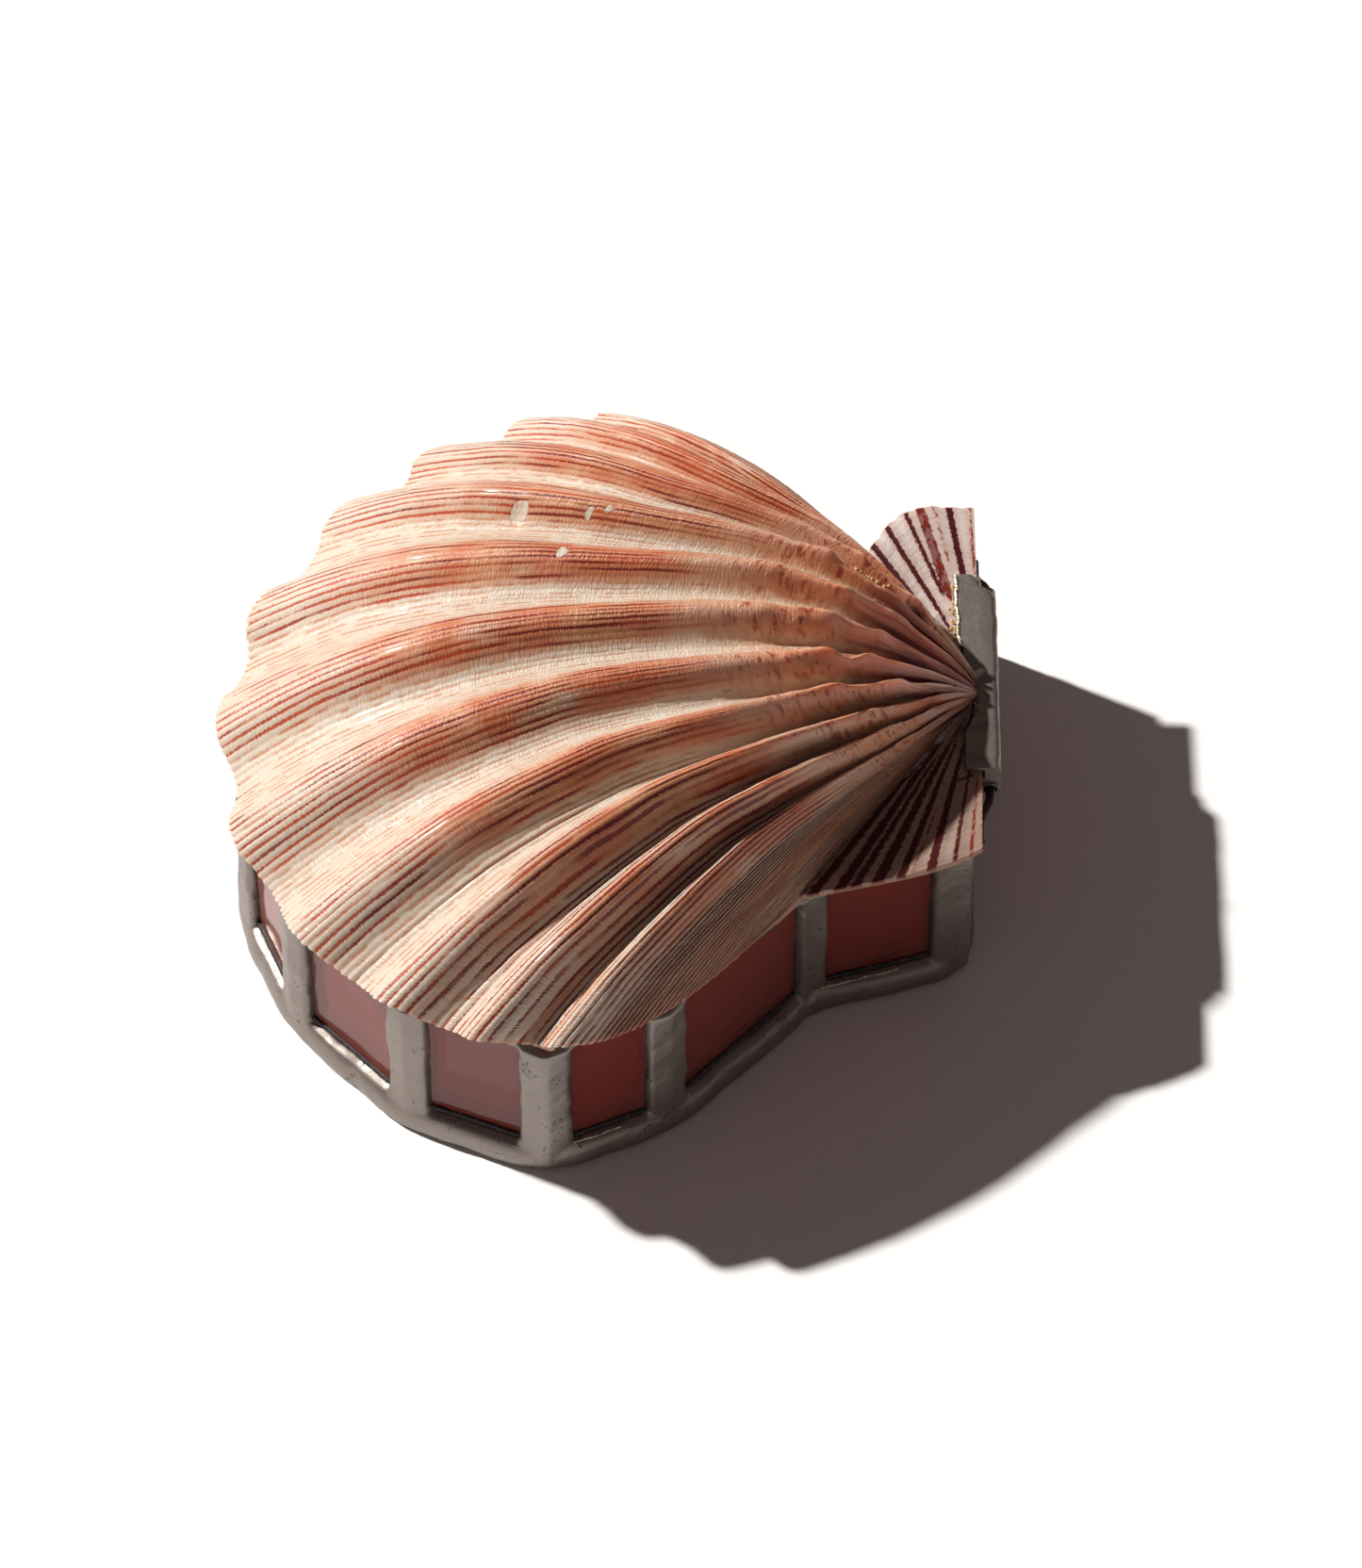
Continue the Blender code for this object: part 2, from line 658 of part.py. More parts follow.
def make_tube(mat):
    half = SLEEVE_LENGTH / 2 + TUBE_OVERHANG
    ends = (SLEEVE_CENTRE_X - half, SLEEVE_CENTRE_X + half)
    rings = []
    points = []
    for x, radius in itertools.product(ends, (TUBE_RADIUS, TUBE_BORE)):
        rings.append(range(len(points), len(points) + TUBE_SIDES))
        profile = circle_profile(radius, TUBE_SIDES, HINGE_Y, HINGE_Z)
        points += [Vector((x, y, z)) for y, z in profile]
    outer_low, bore_low, outer_high, bore_high = rings
    faces = []
    for i in range(TUBE_SIDES):
        j = (i + 1) % TUBE_SIDES
        faces.append((outer_low[i], outer_low[j], outer_high[j], outer_high[i]))
        faces.append((bore_low[i], bore_high[i], bore_high[j], bore_low[j]))
        faces.append((outer_low[i], bore_low[i], bore_low[j], outer_low[j]))
        faces.append((outer_high[i], outer_high[j], bore_high[j], bore_high[i]))
    return add_piece("hinge_tube", points, faces, mat, smooth=True)


def make_rod(mat):
    """A wire through the tube. Both ends bend in, the far one sharply, and run along the top rim."""
    end_y = WALL_BACK_Y + SOLDER_BULGE + PIECE_GAP + ROD_RADIUS
    route = []
    for side, overhang, bend_run in ((-1, FAR_ROD_OVERHANG, FAR_ROD_BEND_RUN),
                                     (1, NEAR_ROD_OVERHANG, NEAR_ROD_BEND_RUN)):
        bend = SLEEVE_CENTRE_X + side * (SLEEVE_LENGTH / 2 + overhang)
        stop = bend + side * bend_run
        end = stop + side * ROD_END_RUN
        leg = [Vector((bend, HINGE_Y, HINGE_Z)), Vector((stop, end_y, HINGE_Z)),
               Vector((end, end_y, HINGE_Z))]
        route = leg[::-1] if side < 0 else route + leg
    smooth = [route[0]]
    for i in range(1, len(route) - 1):
        before = (route[i - 1] - route[i]).normalized() * ROD_BEND_RADIUS
        after = (route[i + 1] - route[i]).normalized() * ROD_BEND_RADIUS
        smooth += [route[i] + before, route[i] + (before + after) * 0.25, route[i] + after]
    smooth.append(route[-1])
    curve = bpy.data.curves.new("hinge_rod", 'CURVE')
    curve.dimensions = '3D'
    curve.bevel_depth = ROD_RADIUS
    curve.bevel_resolution = 2
    curve.use_fill_caps = True
    spline = curve.splines.new('POLY')
    spline.points.add(len(smooth) - 1)
    for point, place in zip(spline.points, smooth):
        point.co = (*place, 1.0)
    rod = bpy.data.objects.new("hinge_rod", curve)
    bpy.context.scene.collection.objects.link(rod)
    curve.materials.append(mat)


def hang_on_hinge(pieces):
    """The lid's pieces turn about an empty on the hinge axis."""
    hinge = bpy.data.objects.new("lid_hinge", None)
    bpy.context.scene.collection.objects.link(hinge)
    hinge.location = (SLEEVE_CENTRE_X, HINGE_Y, HINGE_Z)
    bpy.context.view_layer.update()
    for piece in pieces:
        piece.parent = hinge
        piece.matrix_parent_inverse = hinge.matrix_world.inverted()


def build():
    clear_scene()
    shell_mat = material("shell", (0.80, 0.66, 0.55), 0.4)
    glass_mat = material("pink_glass", (0.42, 0.20, 0.18), 0.08, transmission=0.8)
    solder_mat = material("solder", (0.38, 0.35, 0.33), 0.45, metallic=1.0)
    dark_mat = material("hinge_metal", (0.10, 0.09, 0.09), 0.5, metallic=1.0)

    places = wall_corners()
    corners = [Corner(places, i) for i in range(len(places))]
    slots = make_panes(corners, glass_mat)
    make_frame(corners, slots, solder_mat)
    make_base(corners, glass_mat)
    make_rod(dark_mat)
    lid = [make_shell(shell_mat), make_sleeve(solder_mat), make_tube(solder_mat)]
    hang_on_hinge(lid)


build()
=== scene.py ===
import functools
import itertools
import math

import bmesh
import bpy
import numpy as np
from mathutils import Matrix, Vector
from mathutils.bvhtree import BVHTree


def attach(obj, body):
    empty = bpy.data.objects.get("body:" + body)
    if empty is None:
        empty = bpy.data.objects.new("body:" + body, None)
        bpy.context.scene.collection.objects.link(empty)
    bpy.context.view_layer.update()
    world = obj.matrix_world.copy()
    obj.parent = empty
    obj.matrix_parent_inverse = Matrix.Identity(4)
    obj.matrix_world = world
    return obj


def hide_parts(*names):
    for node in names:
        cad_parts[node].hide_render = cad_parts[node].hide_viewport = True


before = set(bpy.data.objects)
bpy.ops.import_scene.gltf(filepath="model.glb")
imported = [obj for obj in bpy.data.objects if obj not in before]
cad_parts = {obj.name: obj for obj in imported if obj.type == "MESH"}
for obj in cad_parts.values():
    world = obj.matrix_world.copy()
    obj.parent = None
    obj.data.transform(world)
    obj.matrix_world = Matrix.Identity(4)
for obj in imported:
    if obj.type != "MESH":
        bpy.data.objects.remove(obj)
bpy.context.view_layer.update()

# Camera: it stands at the box's right side and looks steeply down along -X, so the hinge is at the
# right of the picture. The frame is 1445 by 1664 pixels.
FRAME_HEIGHT = 1664
FOCAL_PIXELS = 9000
CAMERA_TILT = math.radians(55)
CAMERA_DISTANCE = 1.35
CAMERA_AIM = (-0.0142, 0.0105)


def put_in_scene(name, data):
    """An object for a mesh, a light or a camera, at the origin and unturned."""
    thing = bpy.data.objects.new(name, data)
    bpy.context.scene.collection.objects.link(thing)
    return thing


camera_data = bpy.data.cameras.new("camera")
camera_data.sensor_fit = 'VERTICAL'
camera_data.sensor_height = 36
camera_data.lens = FOCAL_PIXELS / FRAME_HEIGHT * camera_data.sensor_height
camera = put_in_scene("camera", camera_data)
camera.location = (CAMERA_AIM[0] + CAMERA_DISTANCE * math.cos(CAMERA_TILT), CAMERA_AIM[1],
                   CAMERA_DISTANCE * math.sin(CAMERA_TILT))
camera.rotation_euler = (math.pi / 2 - CAMERA_TILT, 0, math.pi / 2)
bpy.context.scene.camera = camera
bpy.context.scene.view_settings.view_transform = 'Standard'

# Scallop shell, the lid: one whole valve of natural shell, about 120 mm across, with broad ribs
# that fan out from the beak, nine to eighteen cords on each, and two flat ears beside the beak.
# It lies dome up, with its margin over the top rim of the wall.
MM = 0.001
DISC_RADIUS = 61 * MM
BEAK_X = -0.1082 * DISC_RADIUS
BEAK_Y = 0.936 * DISC_RADIUS
DOME_HEIGHT = 0.397 * DISC_RADIUS
DOME_PEAK = 0.44
# How full the dome is towards the beak, towards the margin, across, and on its far and near side
DOME_RISE = 2.67
DOME_FALL = 2.59
DOME_ARCH = 1.62
DOME_SIDES = (0.64, 0.835)
CREASE_ANGLE = math.radians(53.2)
BEAK_TILT = math.radians(3.1)
HINGE_EDGE_ANGLE = math.radians(89.3)
MARGIN_REACH = BEAK_Y + DISC_RADIUS
SHELL_THICKNESS = 2.2 * MM
MARGIN_THICKNESS = 1.4 * MM
EAR_THICKNESS = 1.5 * MM
RIB_EDGE = 6.85
RIB_DEPTH = 0.072 * DISC_RADIUS
MARGIN_RIB_DEPTH = 0.049 * DISC_RADIUS
MARGIN_SCALLOP = 1.3 * MM
UMBO_RIDGE = 0.9 * MM
UMBO_THREAD = 0.28 * MM
NEAR_EAR_REACH = 0.518 * DISC_RADIUS
NEAR_EAR_FLARE = 0.226
NEAR_EAR_ROUND = 0.08
FAR_EAR_REACH = 0.597 * DISC_RADIUS
FAR_NOTCH_REACH = 0.516 * DISC_RADIUS
FAR_EAR_ROUND = 0.03
EAR_RAGGED = 0.3 * MM
EAR_RELIEF = 0.14 * MM
MARGIN_FORM = ((-1, 1.018), (-0.75, 0.993), (-0.5, 0.974), (-0.25, 0.976), (0, 0.99),
               (0.25, 1.004), (0.5, 1.004), (0.75, 0.994), (1, 0.988))
LID_LEVEL = 35.81 * MM
EAR_BOTTOM = LID_LEVEL - EAR_THICKNESS
DISC_COLUMNS = 1040
EAR_COLUMNS = 64
LINING_STEP = 4
LINING_ROWS = 36
LINING_DEPTH = 1.1 * MM

# Cords, the fine ribs on the broad ones: rib number and cords per rib there
CORDS = ((-6.85, 14), (-4, 14), (-3, 17), (1.3, 18), (2.2, 15), (3.2, 10), (4.4, 9), (5.2, 11),
         (6.0, 14), (6.85, 16))
# Rows of the outer mesh: growth where a spacing ends, the spacing, and how many columns it skips
ROW_PLAN = ((0.05, 0.0065, 8), (0.13, 0.0055, 4), (0.28, 0.0055, 4), (0.45, 0.0075, 2),
            (1.0, 0.0107, 1))

# Knobs: rib number, share of the growth, height, breadth in ribs, length towards the margin
KNOBS = [(rib, share, height * MM, breadth, length * MM) for rib, share, height, breadth, length in (
    (-2, 0.150, 1.2, 0.22, 3.0), (-1, 0.118, 1.1, 0.2, 3.4), (0.1, 0.146, -1.5, 0.09, 1.3),
    (0, 0.135, 1.2, 0.18, 3.6), (2.05, 0.147, 1.7, 0.18, 4.4), (-3, 0.14, 1.8, 0.26, 3.4),
    (-3, 0.250, 1.1, 0.24, 3.0), (-2, 0.262, 1.5, 0.24, 3.4), (-1, 0.190, 1.5, 0.24, 3.6),
    (0, 0.200, 1.3, 0.24, 3.8), (1, 0.212, 1.4, 0.22, 3.6), (2, 0.240, 1.0, 0.22, 3.8),
    (-1, 0.300, 0.5, 0.26, 4.4), (0, 0.292, 0.5, 0.26, 4.4), (0.3, 0.246, 0.7, 0.14, 2.2),
    (1.25, 0.268, 0.7, 0.14, 2.2), (1, 0.16, 0.8, 0.2, 3.0), (2, 0.3, 0.6, 0.22, 3.2))]
# Growth stops: share of the growth, and height in mm of the low step that each left
GROWTH_STOPS = ((0.305, 0.1), (0.39, 0.1), (0.47, 0.12), (0.585, 0.08), (0.69, 0.12), (0.79, 0.08),
                (0.885, 0.12), (0.95, 0.1))

# Rays on an ear, by their turn from the crease (0) to the hinge edge (1): turn at the outer edge,
# turn half way to the beak, half width in mm, share of the growth where it starts, and its redness
NEAR_RAYS = (
    (0.0, -0.06, 0.3, 0.2, 0.1), (0.05, 0.02, 0.6, 0.2, 0.3), (0.155, 0.115, 0.72, 0.2, 0.1),
    (0.225, 0.2, 0.55, 0.3, 0.0), (0.33, 0.295, 0.85, 0.1, 0.15), (0.455, 0.42, 0.66, 0.1, 0.1),
    (0.52, 0.5, 0.24, 0.6, 0.7), (0.629, 0.6, 0.78, 0.1, 0.15), (0.786, 0.79, 0.45, 0.2, 0.4),
    (0.909, 0.93, 0.4, 0.5, 0.8), (1.0, 1.01, 0.2, 0.7, 0.9))
FAR_RAYS = (
    (0.181, 0.21, 0.58, 0.5, 0.1), (0.35, 0.405, 0.45, 0.3, 0.15), (0.52, 0.56, 0.38, 0.5, 0.35),
    (0.625, 0.633, 0.72, 0.48, 0.6), (0.721, 0.74, 0.24, 0.66, 0.85), (0.825, 0.87, 0.55, 0.55, 0.25),
    (0.967, 1.0, 0.26, 0.6, 0.85))
# Old scars on the outside: rib number, share of the growth, depth, breadth in ribs, length
SCARS = ((-1.75, 0.694, 0.45 * MM, 0.11, 1.7 * MM), (-1.8, 0.592, 0.3 * MM, 0.1, 1.2 * MM),
         (-1.86, 0.565, 0.3 * MM, 0.09, 1.0 * MM), (-0.95, 0.578, 0.35 * MM, 0.1, 1.3 * MM))


def ease(share):
    share = np.clip(share, 0.0, 1.0)
    return share * share * (3 - 2 * share)


def drift(x, y, seed):
    """Smooth random values between -1 and 1 that change over one unit of x and y."""
    def corner(i, j):
        value = np.sin(i * 127.1 + j * 311.7 + seed * 74.7) * 43758.5453
        return 2 * (value - np.floor(value)) - 1
    i, j = np.floor(x), np.floor(y)
    u, v = ease(x - i), ease(y - j)
    low = corner(i, j) * (1 - u) + corner(i + 1, j) * u
    high = corner(i, j + 1) * (1 - u) + corner(i + 1, j + 1) * u
    return low * (1 - v) + high * v


def crease_angle(growth):
    return np.arctan(math.tan(CREASE_ANGLE) * (1 + 1.4 * np.exp(-growth / 0.03)))


def lateral_share(rib, growth):
    at_margin = rib / RIB_EDGE
    at_umbo = np.sin(math.pi / 2 * at_margin)
    return at_umbo + (at_margin - at_umbo) * ease(growth / 0.58)


def margin_distance(lateral):
    angle = np.arctan(math.tan(CREASE_ANGLE) * lateral) + BEAK_TILT * (1 - lateral ** 2)
    towards = BEAK_Y * np.cos(angle) - BEAK_X * np.sin(angle)
    distance = towards + np.sqrt(towards ** 2 - (BEAK_X ** 2 + BEAK_Y ** 2 - DISC_RADIUS ** 2))
    distance = distance * np.interp(lateral, *zip(*MARGIN_FORM))
    return distance * (1 - 0.36 * np.abs(lateral) ** 10)


def rib_fold(rib):
    fade = 1 - ease((np.abs(rib) - 4.3) / 1.6)
    return np.sin(1.1 * np.cos(2 * math.pi * rib)) / math.sin(1.1) * fade


def rib_depth(rib, growth):
    young = RIB_DEPTH * ease(growth / 0.4 + 0.08)
    crowding = 1 - np.cos(math.pi / 2 * rib / RIB_EDGE)
    young = young * (1 - crowding * (1 - ease(growth / 0.45)))
    return young + (MARGIN_RIB_DEPTH - RIB_DEPTH) * ease((growth - 0.7) / 0.3)


def dome_height(lateral, growth):
    rise = 1 - (np.clip(DOME_PEAK - growth, 0, 1) / DOME_PEAK) ** DOME_RISE
    fall = 1 - (np.clip(growth - DOME_PEAK, 0, 1) / (1 - DOME_PEAK)) ** DOME_FALL
    arch = np.clip(1 - np.abs(lateral) ** DOME_ARCH, 0, 1) ** np.where(lateral < 0, *DOME_SIDES)
    return DOME_HEIGHT * np.where(growth < DOME_PEAK, rise, fall) * arch


def knob_height(rib, growth):
    total = np.zeros_like(growth)
    for knob_rib, knob_growth, height, breadth, length in KNOBS:
        along = (growth - knob_growth) * MARGIN_REACH
        along = np.where(along < 0, along / (0.42 * length), along / length)
        total += height * np.exp(-along ** 2 - ((rib - knob_rib) / breadth) ** 2)
    return total


def scar_depth(rib, growth):
    total = np.zeros_like(growth)
    for scar_rib, scar_growth, depth, breadth, length in SCARS:
        along = (growth - scar_growth) * MARGIN_REACH / length
        total += depth * np.exp(-(along ** 2 + ((rib - scar_rib) / breadth) ** 2) ** 2)
    return total


def growth_steps(growth):
    total = np.zeros_like(growth)
    for stop, height in GROWTH_STOPS:
        behind = growth - stop
        total += height * MM * np.where(behind < 0, np.exp(behind / 0.022),
                                        -0.6 * np.exp(-behind / 0.012))
    return total


def from_beak(angle, distance, height):
    return np.stack([BEAK_X + distance * np.sin(angle), BEAK_Y - distance * np.cos(angle),
                     height + 0 * distance], axis=-1)


def cord_number(rib):
    """Which cord a place on the ribs belongs to; cords crowd where CORDS has more per rib."""
    fine = np.linspace(-RIB_EDGE, RIB_EDGE, 800)
    per_rib = np.interp(fine, *zip(*CORDS))
    total = np.cumsum(per_rib) * (fine[1] - fine[0])
    return np.interp(rib, fine, total - np.interp(0, fine, total))


def rib_columns(count):
    """Rib numbers of the mesh's columns, spread so that every cord gets as many."""
    fine = np.linspace(-RIB_EDGE, RIB_EDGE, 800)
    numbers = cord_number(fine)
    return np.interp(np.linspace(numbers[0], numbers[-1], count + 1), numbers, fine)


def disc_points(rib, growth, weathered=1.0):
    lateral = lateral_share(rib, growth)
    wandering = rib + weathered * 0.035 * drift(rib * 0.9, growth * 4, 3) * ease(growth / 0.3)
    fold = rib_fold(wandering)
    gain = 1 + weathered * 0.1 * drift(np.round(rib), growth * 3, 5)
    distance = growth * margin_distance(lateral)
    distance = distance + MARGIN_SCALLOP * fold * np.clip(growth - 0.55, 0, 1) / 0.45
    ragged = drift(rib * 2, growth * 0, 8) + 0.5 * drift(rib * 17, growth * 0, 9)
    teeth = np.abs(np.cos(math.pi * cord_number(rib))) * (1 + 0.9 * drift(rib * 3.1, growth * 0, 12))
    distance = distance + weathered * (0.34 * ragged + 0.24 * teeth) * MM * ease((growth - 0.93) / 0.07)
    height = LID_LEVEL + dome_height(lateral, growth)
    height = height + fold * gain * rib_depth(rib, growth) / 2 * np.clip(growth / 0.05, 0, 1)
    if weathered:
        # the young shell's ridges are narrow and wind, with finer threads between them
        young = ease(growth / 0.05) * (1 - ease((growth - 0.12) / 0.2))
        young = young * (1 - ease((np.abs(rib) - 4.5) / 1.5))
        winding = rib + 0.2 * drift(rib * 0.8, growth * 26, 14)
        narrow = (0.5 + 0.5 * np.cos(2 * math.pi * winding)) ** 4
        threads = np.cos(6 * math.pi * winding + 2 * drift(rib * 0.7, growth * 15, 15))
        height = height + young * (UMBO_RIDGE * (narrow - 0.27) + UMBO_THREAD * threads)
        height = height + knob_height(winding, growth) - scar_depth(rib, growth)
        height = height + growth_steps(growth + 0.006 * drift(rib * 1.3, growth * 0, 2))
        height = height + 0.12 * MM * drift(rib * 1.7, growth * 14, 4) * ease(growth / 0.3)
    turn = np.arctan(np.tan(crease_angle(growth)) * lateral) + BEAK_TILT * (1 - lateral ** 2)
    return from_beak(turn, distance, height)


def ear_rays(side, turn, growth):
    """How far in mm a place on an ear lies inside the nearest ray, and how red that ray is."""
    inside = np.full(np.shape(turn), -9.0)
    redness = np.zeros(np.shape(turn))
    for outer_turn, half_way_turn, half_width, start, red in NEAR_RAYS if side > 0 else FAR_RAYS:
        middle = outer_turn + (half_way_turn - outer_turn) * (np.clip(1 - growth, 0, 1) * 2) ** 1.7
        arc = np.abs(turn - middle) * growth * NEAR_EAR_REACH * (HINGE_EDGE_ANGLE - CREASE_ANGLE) / MM
        width = (1.2 - 0.38 * growth) * growth if side > 0 else 0.9 * np.clip(growth / 0.6, 0, 1)
        begun = ease((growth - start + 0.05) / 0.12)
        depth = half_width * width * begun - 0.4 * (1 - begun) - arc
        redness = np.where(depth > inside, red, redness)
        inside = np.maximum(inside, depth)
    return inside, redness


def ear_points(side, turn, growth, weathered=1.0):
    whole_angle = CREASE_ANGLE + (HINGE_EDGE_ANGLE - CREASE_ANGLE) * turn
    if side > 0:
        reach = NEAR_EAR_REACH / (np.sin(whole_angle) - NEAR_EAR_FLARE * np.cos(whole_angle))
        reach = reach * (1 - NEAR_EAR_ROUND * np.clip((turn - 0.2) / 0.8, 0, 1) ** 3)
    else:
        reach = FAR_NOTCH_REACH + (FAR_EAR_REACH - FAR_NOTCH_REACH) * ease(turn / 0.55)
        reach = reach * (1 - FAR_EAR_ROUND * ease((turn - 0.6) / 0.4))
    in_ray = ear_rays(side, turn, growth)[0]
    lobe = EAR_RAGGED * np.exp(-np.clip(-in_ray, 0, 9) ** 2 / 0.8)
    ragged = EAR_RAGGED * drift(turn * 9, growth * 0, 6 + side)
    ragged = ragged + 0.12 * MM * drift(turn * 31, growth * 0, 3)
    reach = reach + weathered * (ragged + lobe) * ease(growth * 4 - 3)
    start = crease_angle(growth)
    angle = start + (HINGE_EDGE_ANGLE - start) * turn
    ridge = EAR_RELIEF * np.exp(-np.clip(-in_ray, 0, 9) ** 2 / 0.5)
    ridge = ridge * ease(growth / 0.3) * ease(turn * 8)
    # the lines of growth stop short of the hinge edge, so the sleeve lies flat on it
    ridge = ridge + EAR_RELIEF * drift(growth * 22, turn * 0, 7)
    height = LID_LEVEL + weathered * ridge * (1 - ease((turn - 0.75) / 0.15)) - 0.1 * MM * weathered
    return from_beak(side * angle, growth * reach, height)


def valve_grid(disc_columns, ear_columns, growth, weathered):
    """Points of the valve as [column, row], from the far ear over the disc to the near ear."""
    turn = (np.arange(1, ear_columns + 1) / ear_columns) ** 1.5
    rib = rib_columns(disc_columns)
    far = ear_points(-1, *np.meshgrid(turn[::-1], growth, indexing="ij"), weathered)
    disc = disc_points(*np.meshgrid(rib, growth, indexing="ij"), weathered)
    near = ear_points(1, *np.meshgrid(turn, growth, indexing="ij"), weathered)
    around = np.concatenate([-RIB_EDGE - turn[::-1], rib, RIB_EDGE + turn])
    return np.concatenate([far, disc, near]), around


def strip_faces(low, low_step, high, high_step, columns):
    """Faces between two rows of vertex numbers, where the second row may be finer."""
    faces = []
    for i in range(0, columns - 1, low_step):
        edge = list(range(i + low_step, i - 1, -high_step))
        faces.append([low(i)] + [low(i + low_step)] + [high(k) for k in edge])
    return faces


rows = [(0.0, ROW_PLAN[0][2])]
for stop, spacing, skip in ROW_PLAN:
    start = rows[-1][0]
    count = round((stop - start) / spacing)
    rows += [(start + (stop - start) * (k + 1) / count, skip) for k in range(count)]
growth = np.array([g for g, skip in rows[1:]])
row_steps = [skip for g, skip in rows[1:]]
GROWTH_ROWS = len(growth)
lining_share = np.arange(1, LINING_ROWS + 1) / LINING_ROWS
lining_growth = lining_share ** 2 * (1.45 - 0.45 * lining_share)
outside, around = valve_grid(DISC_COLUMNS, EAR_COLUMNS, growth, 1.0)
columns = len(around)
smooth, lining_around = valve_grid(DISC_COLUMNS // LINING_STEP, EAR_COLUMNS // LINING_STEP,
                                   lining_growth, 0.0)
across = np.gradient(smooth, axis=0)
along = np.gradient(smooth, axis=1)
normal = np.cross(along, across)
normal /= np.linalg.norm(normal, axis=2, keepdims=True) + 1e-12
normal *= np.sign(normal[:, :, 2:])
wall = SHELL_THICKNESS + (MARGIN_THICKNESS - SHELL_THICKNESS) * ease((lining_growth - 0.6) / 0.4)
wall = np.where(np.abs(lining_around)[:, None] > RIB_EDGE, EAR_THICKNESS, wall[None, :])
inside = smooth - normal * wall[:, :, None]
# by the beak the troughs are narrower than the wall, so the lining is held well under the outside
roof_points = outside[::2].reshape(-1, 3)
roof_faces = [(i * GROWTH_ROWS + k, (i + 1) * GROWTH_ROWS + k, (i + 1) * GROWTH_ROWS + k + 1,
               i * GROWTH_ROWS + k + 1)
              for i in range(len(outside[::2]) - 1) for k in range(GROWTH_ROWS - 1)]
roof = BVHTree.FromPolygons(roof_points.tolist(), roof_faces)
for column, row in itertools.product(range(len(lining_around)), range(LINING_ROWS - 1)):
    x, y, z = inside[column, row]
    hit = roof.ray_cast((x, y, 2 * LID_LEVEL), (0, 0, -1))[0]
    if hit:
        depth = LINING_DEPTH * min(lining_growth[row] / 0.06, 1.0)
        inside[column, row, 2] = min(z, hit.z - depth)

first_outside = 2
first_inside = first_outside + columns * GROWTH_ROWS
shell_points = np.concatenate([
    [[BEAK_X, BEAK_Y, LID_LEVEL], [BEAK_X, BEAK_Y, EAR_BOTTOM]],
    outside.reshape(-1, 3), inside.reshape(-1, 3)])


def outer(row):
    return lambda column: first_outside + column * GROWTH_ROWS + row


def inner(row):
    return lambda column: first_inside + (column // LINING_STEP) * LINING_ROWS + row


shell_faces = []
for i in range(0, columns - 1, row_steps[0]):
    shell_faces.append([0, outer(0)(i + row_steps[0])] + [outer(0)(i)])
for row in range(GROWTH_ROWS - 1):
    shell_faces += strip_faces(outer(row), row_steps[row], outer(row + 1), row_steps[row + 1],
                               columns)
shell_faces = [face[::-1] for face in shell_faces]
for i in range(0, columns - 1, LINING_STEP):
    shell_faces.append([1, inner(0)(i + LINING_STEP), inner(0)(i)])
    for row in range(LINING_ROWS - 1):
        shell_faces.append([inner(row)(i), inner(row)(i + LINING_STEP),
                            inner(row + 1)(i + LINING_STEP), inner(row + 1)(i)])
# the margin joins the two skins, and so do the ears' back edges
last = GROWTH_ROWS - 1
shell_faces += strip_faces(inner(LINING_ROWS - 1), LINING_STEP, outer(last), 1, columns)
for column, forward in ((0, True), (columns - 1, False)):
    edge = [0] + [outer(row)(column) for row in range(GROWTH_ROWS)]
    edge += [inner(row)(column) for row in range(LINING_ROWS - 1, -1, -1)] + [1]
    shell_faces.append(edge if forward else edge[::-1])

shell_mesh = bpy.data.meshes.new("shell")
shell_mesh.from_pydata(shell_points.tolist(), [], shell_faces)


def write_attribute(name, values):
    layer = shell_mesh.attributes.new(name, 'FLOAT', 'POINT')
    layer.data.foreach_set("value", np.asarray(values, dtype=np.float32).ravel())


outside_around, outside_growth = np.meshgrid(around, growth, indexing="ij")
inside_around, inside_growth = np.meshgrid(lining_around, lining_growth, indexing="ij")
every_around = np.concatenate([[0, 0], outside_around.ravel(), inside_around.ravel()])
every_growth = np.concatenate([[0, 0], outside_growth.ravel(), inside_growth.ravel()])
past_edge = np.abs(every_around) - RIB_EDGE
is_ear = past_edge > 1e-4
disc_around = np.clip(every_around, -RIB_EDGE, RIB_EDGE)
near_ray, near_red = ear_rays(1, past_edge, every_growth)
far_ray, far_red = ear_rays(-1, past_edge, every_growth)
write_attribute("around", every_around)
write_attribute("growth", every_growth)
is_outside = [[1, 0], np.ones(outside_around.size), np.zeros(inside_around.size)]
write_attribute("outside", np.concatenate(is_outside))
write_attribute("cord", np.where(is_ear, 1000 + past_edge * 10, cord_number(disc_around)))
write_attribute("ray", np.where(is_ear, np.where(every_around > 0, near_ray, far_ray), -9))
write_attribute("ray_red", np.where(every_around > 0, near_red, far_red))
write_attribute("knob", np.where(is_ear, 0, knob_height(disc_around, every_growth) / (2 * MM)))
write_attribute("scar", np.where(is_ear, 0, scar_depth(disc_around, every_growth) / (0.4 * MM)))
write_attribute("cord_size", np.where(is_ear, 0.0, (12 / np.interp(disc_around, *zip(*CORDS))) ** 1.3))


def split_long_faces(bm):
    bmesh.ops.triangulate(bm, faces=[f for f in bm.faces if len(f.verts) > 4])


def finished_mesh(bm, mesh):
    """The working mesh written to the given one, with all its faces outwards."""
    bmesh.ops.recalc_face_normals(bm, faces=bm.faces)
    bm.to_mesh(mesh)
    bm.free()
    mesh.shade_smooth()
    return mesh


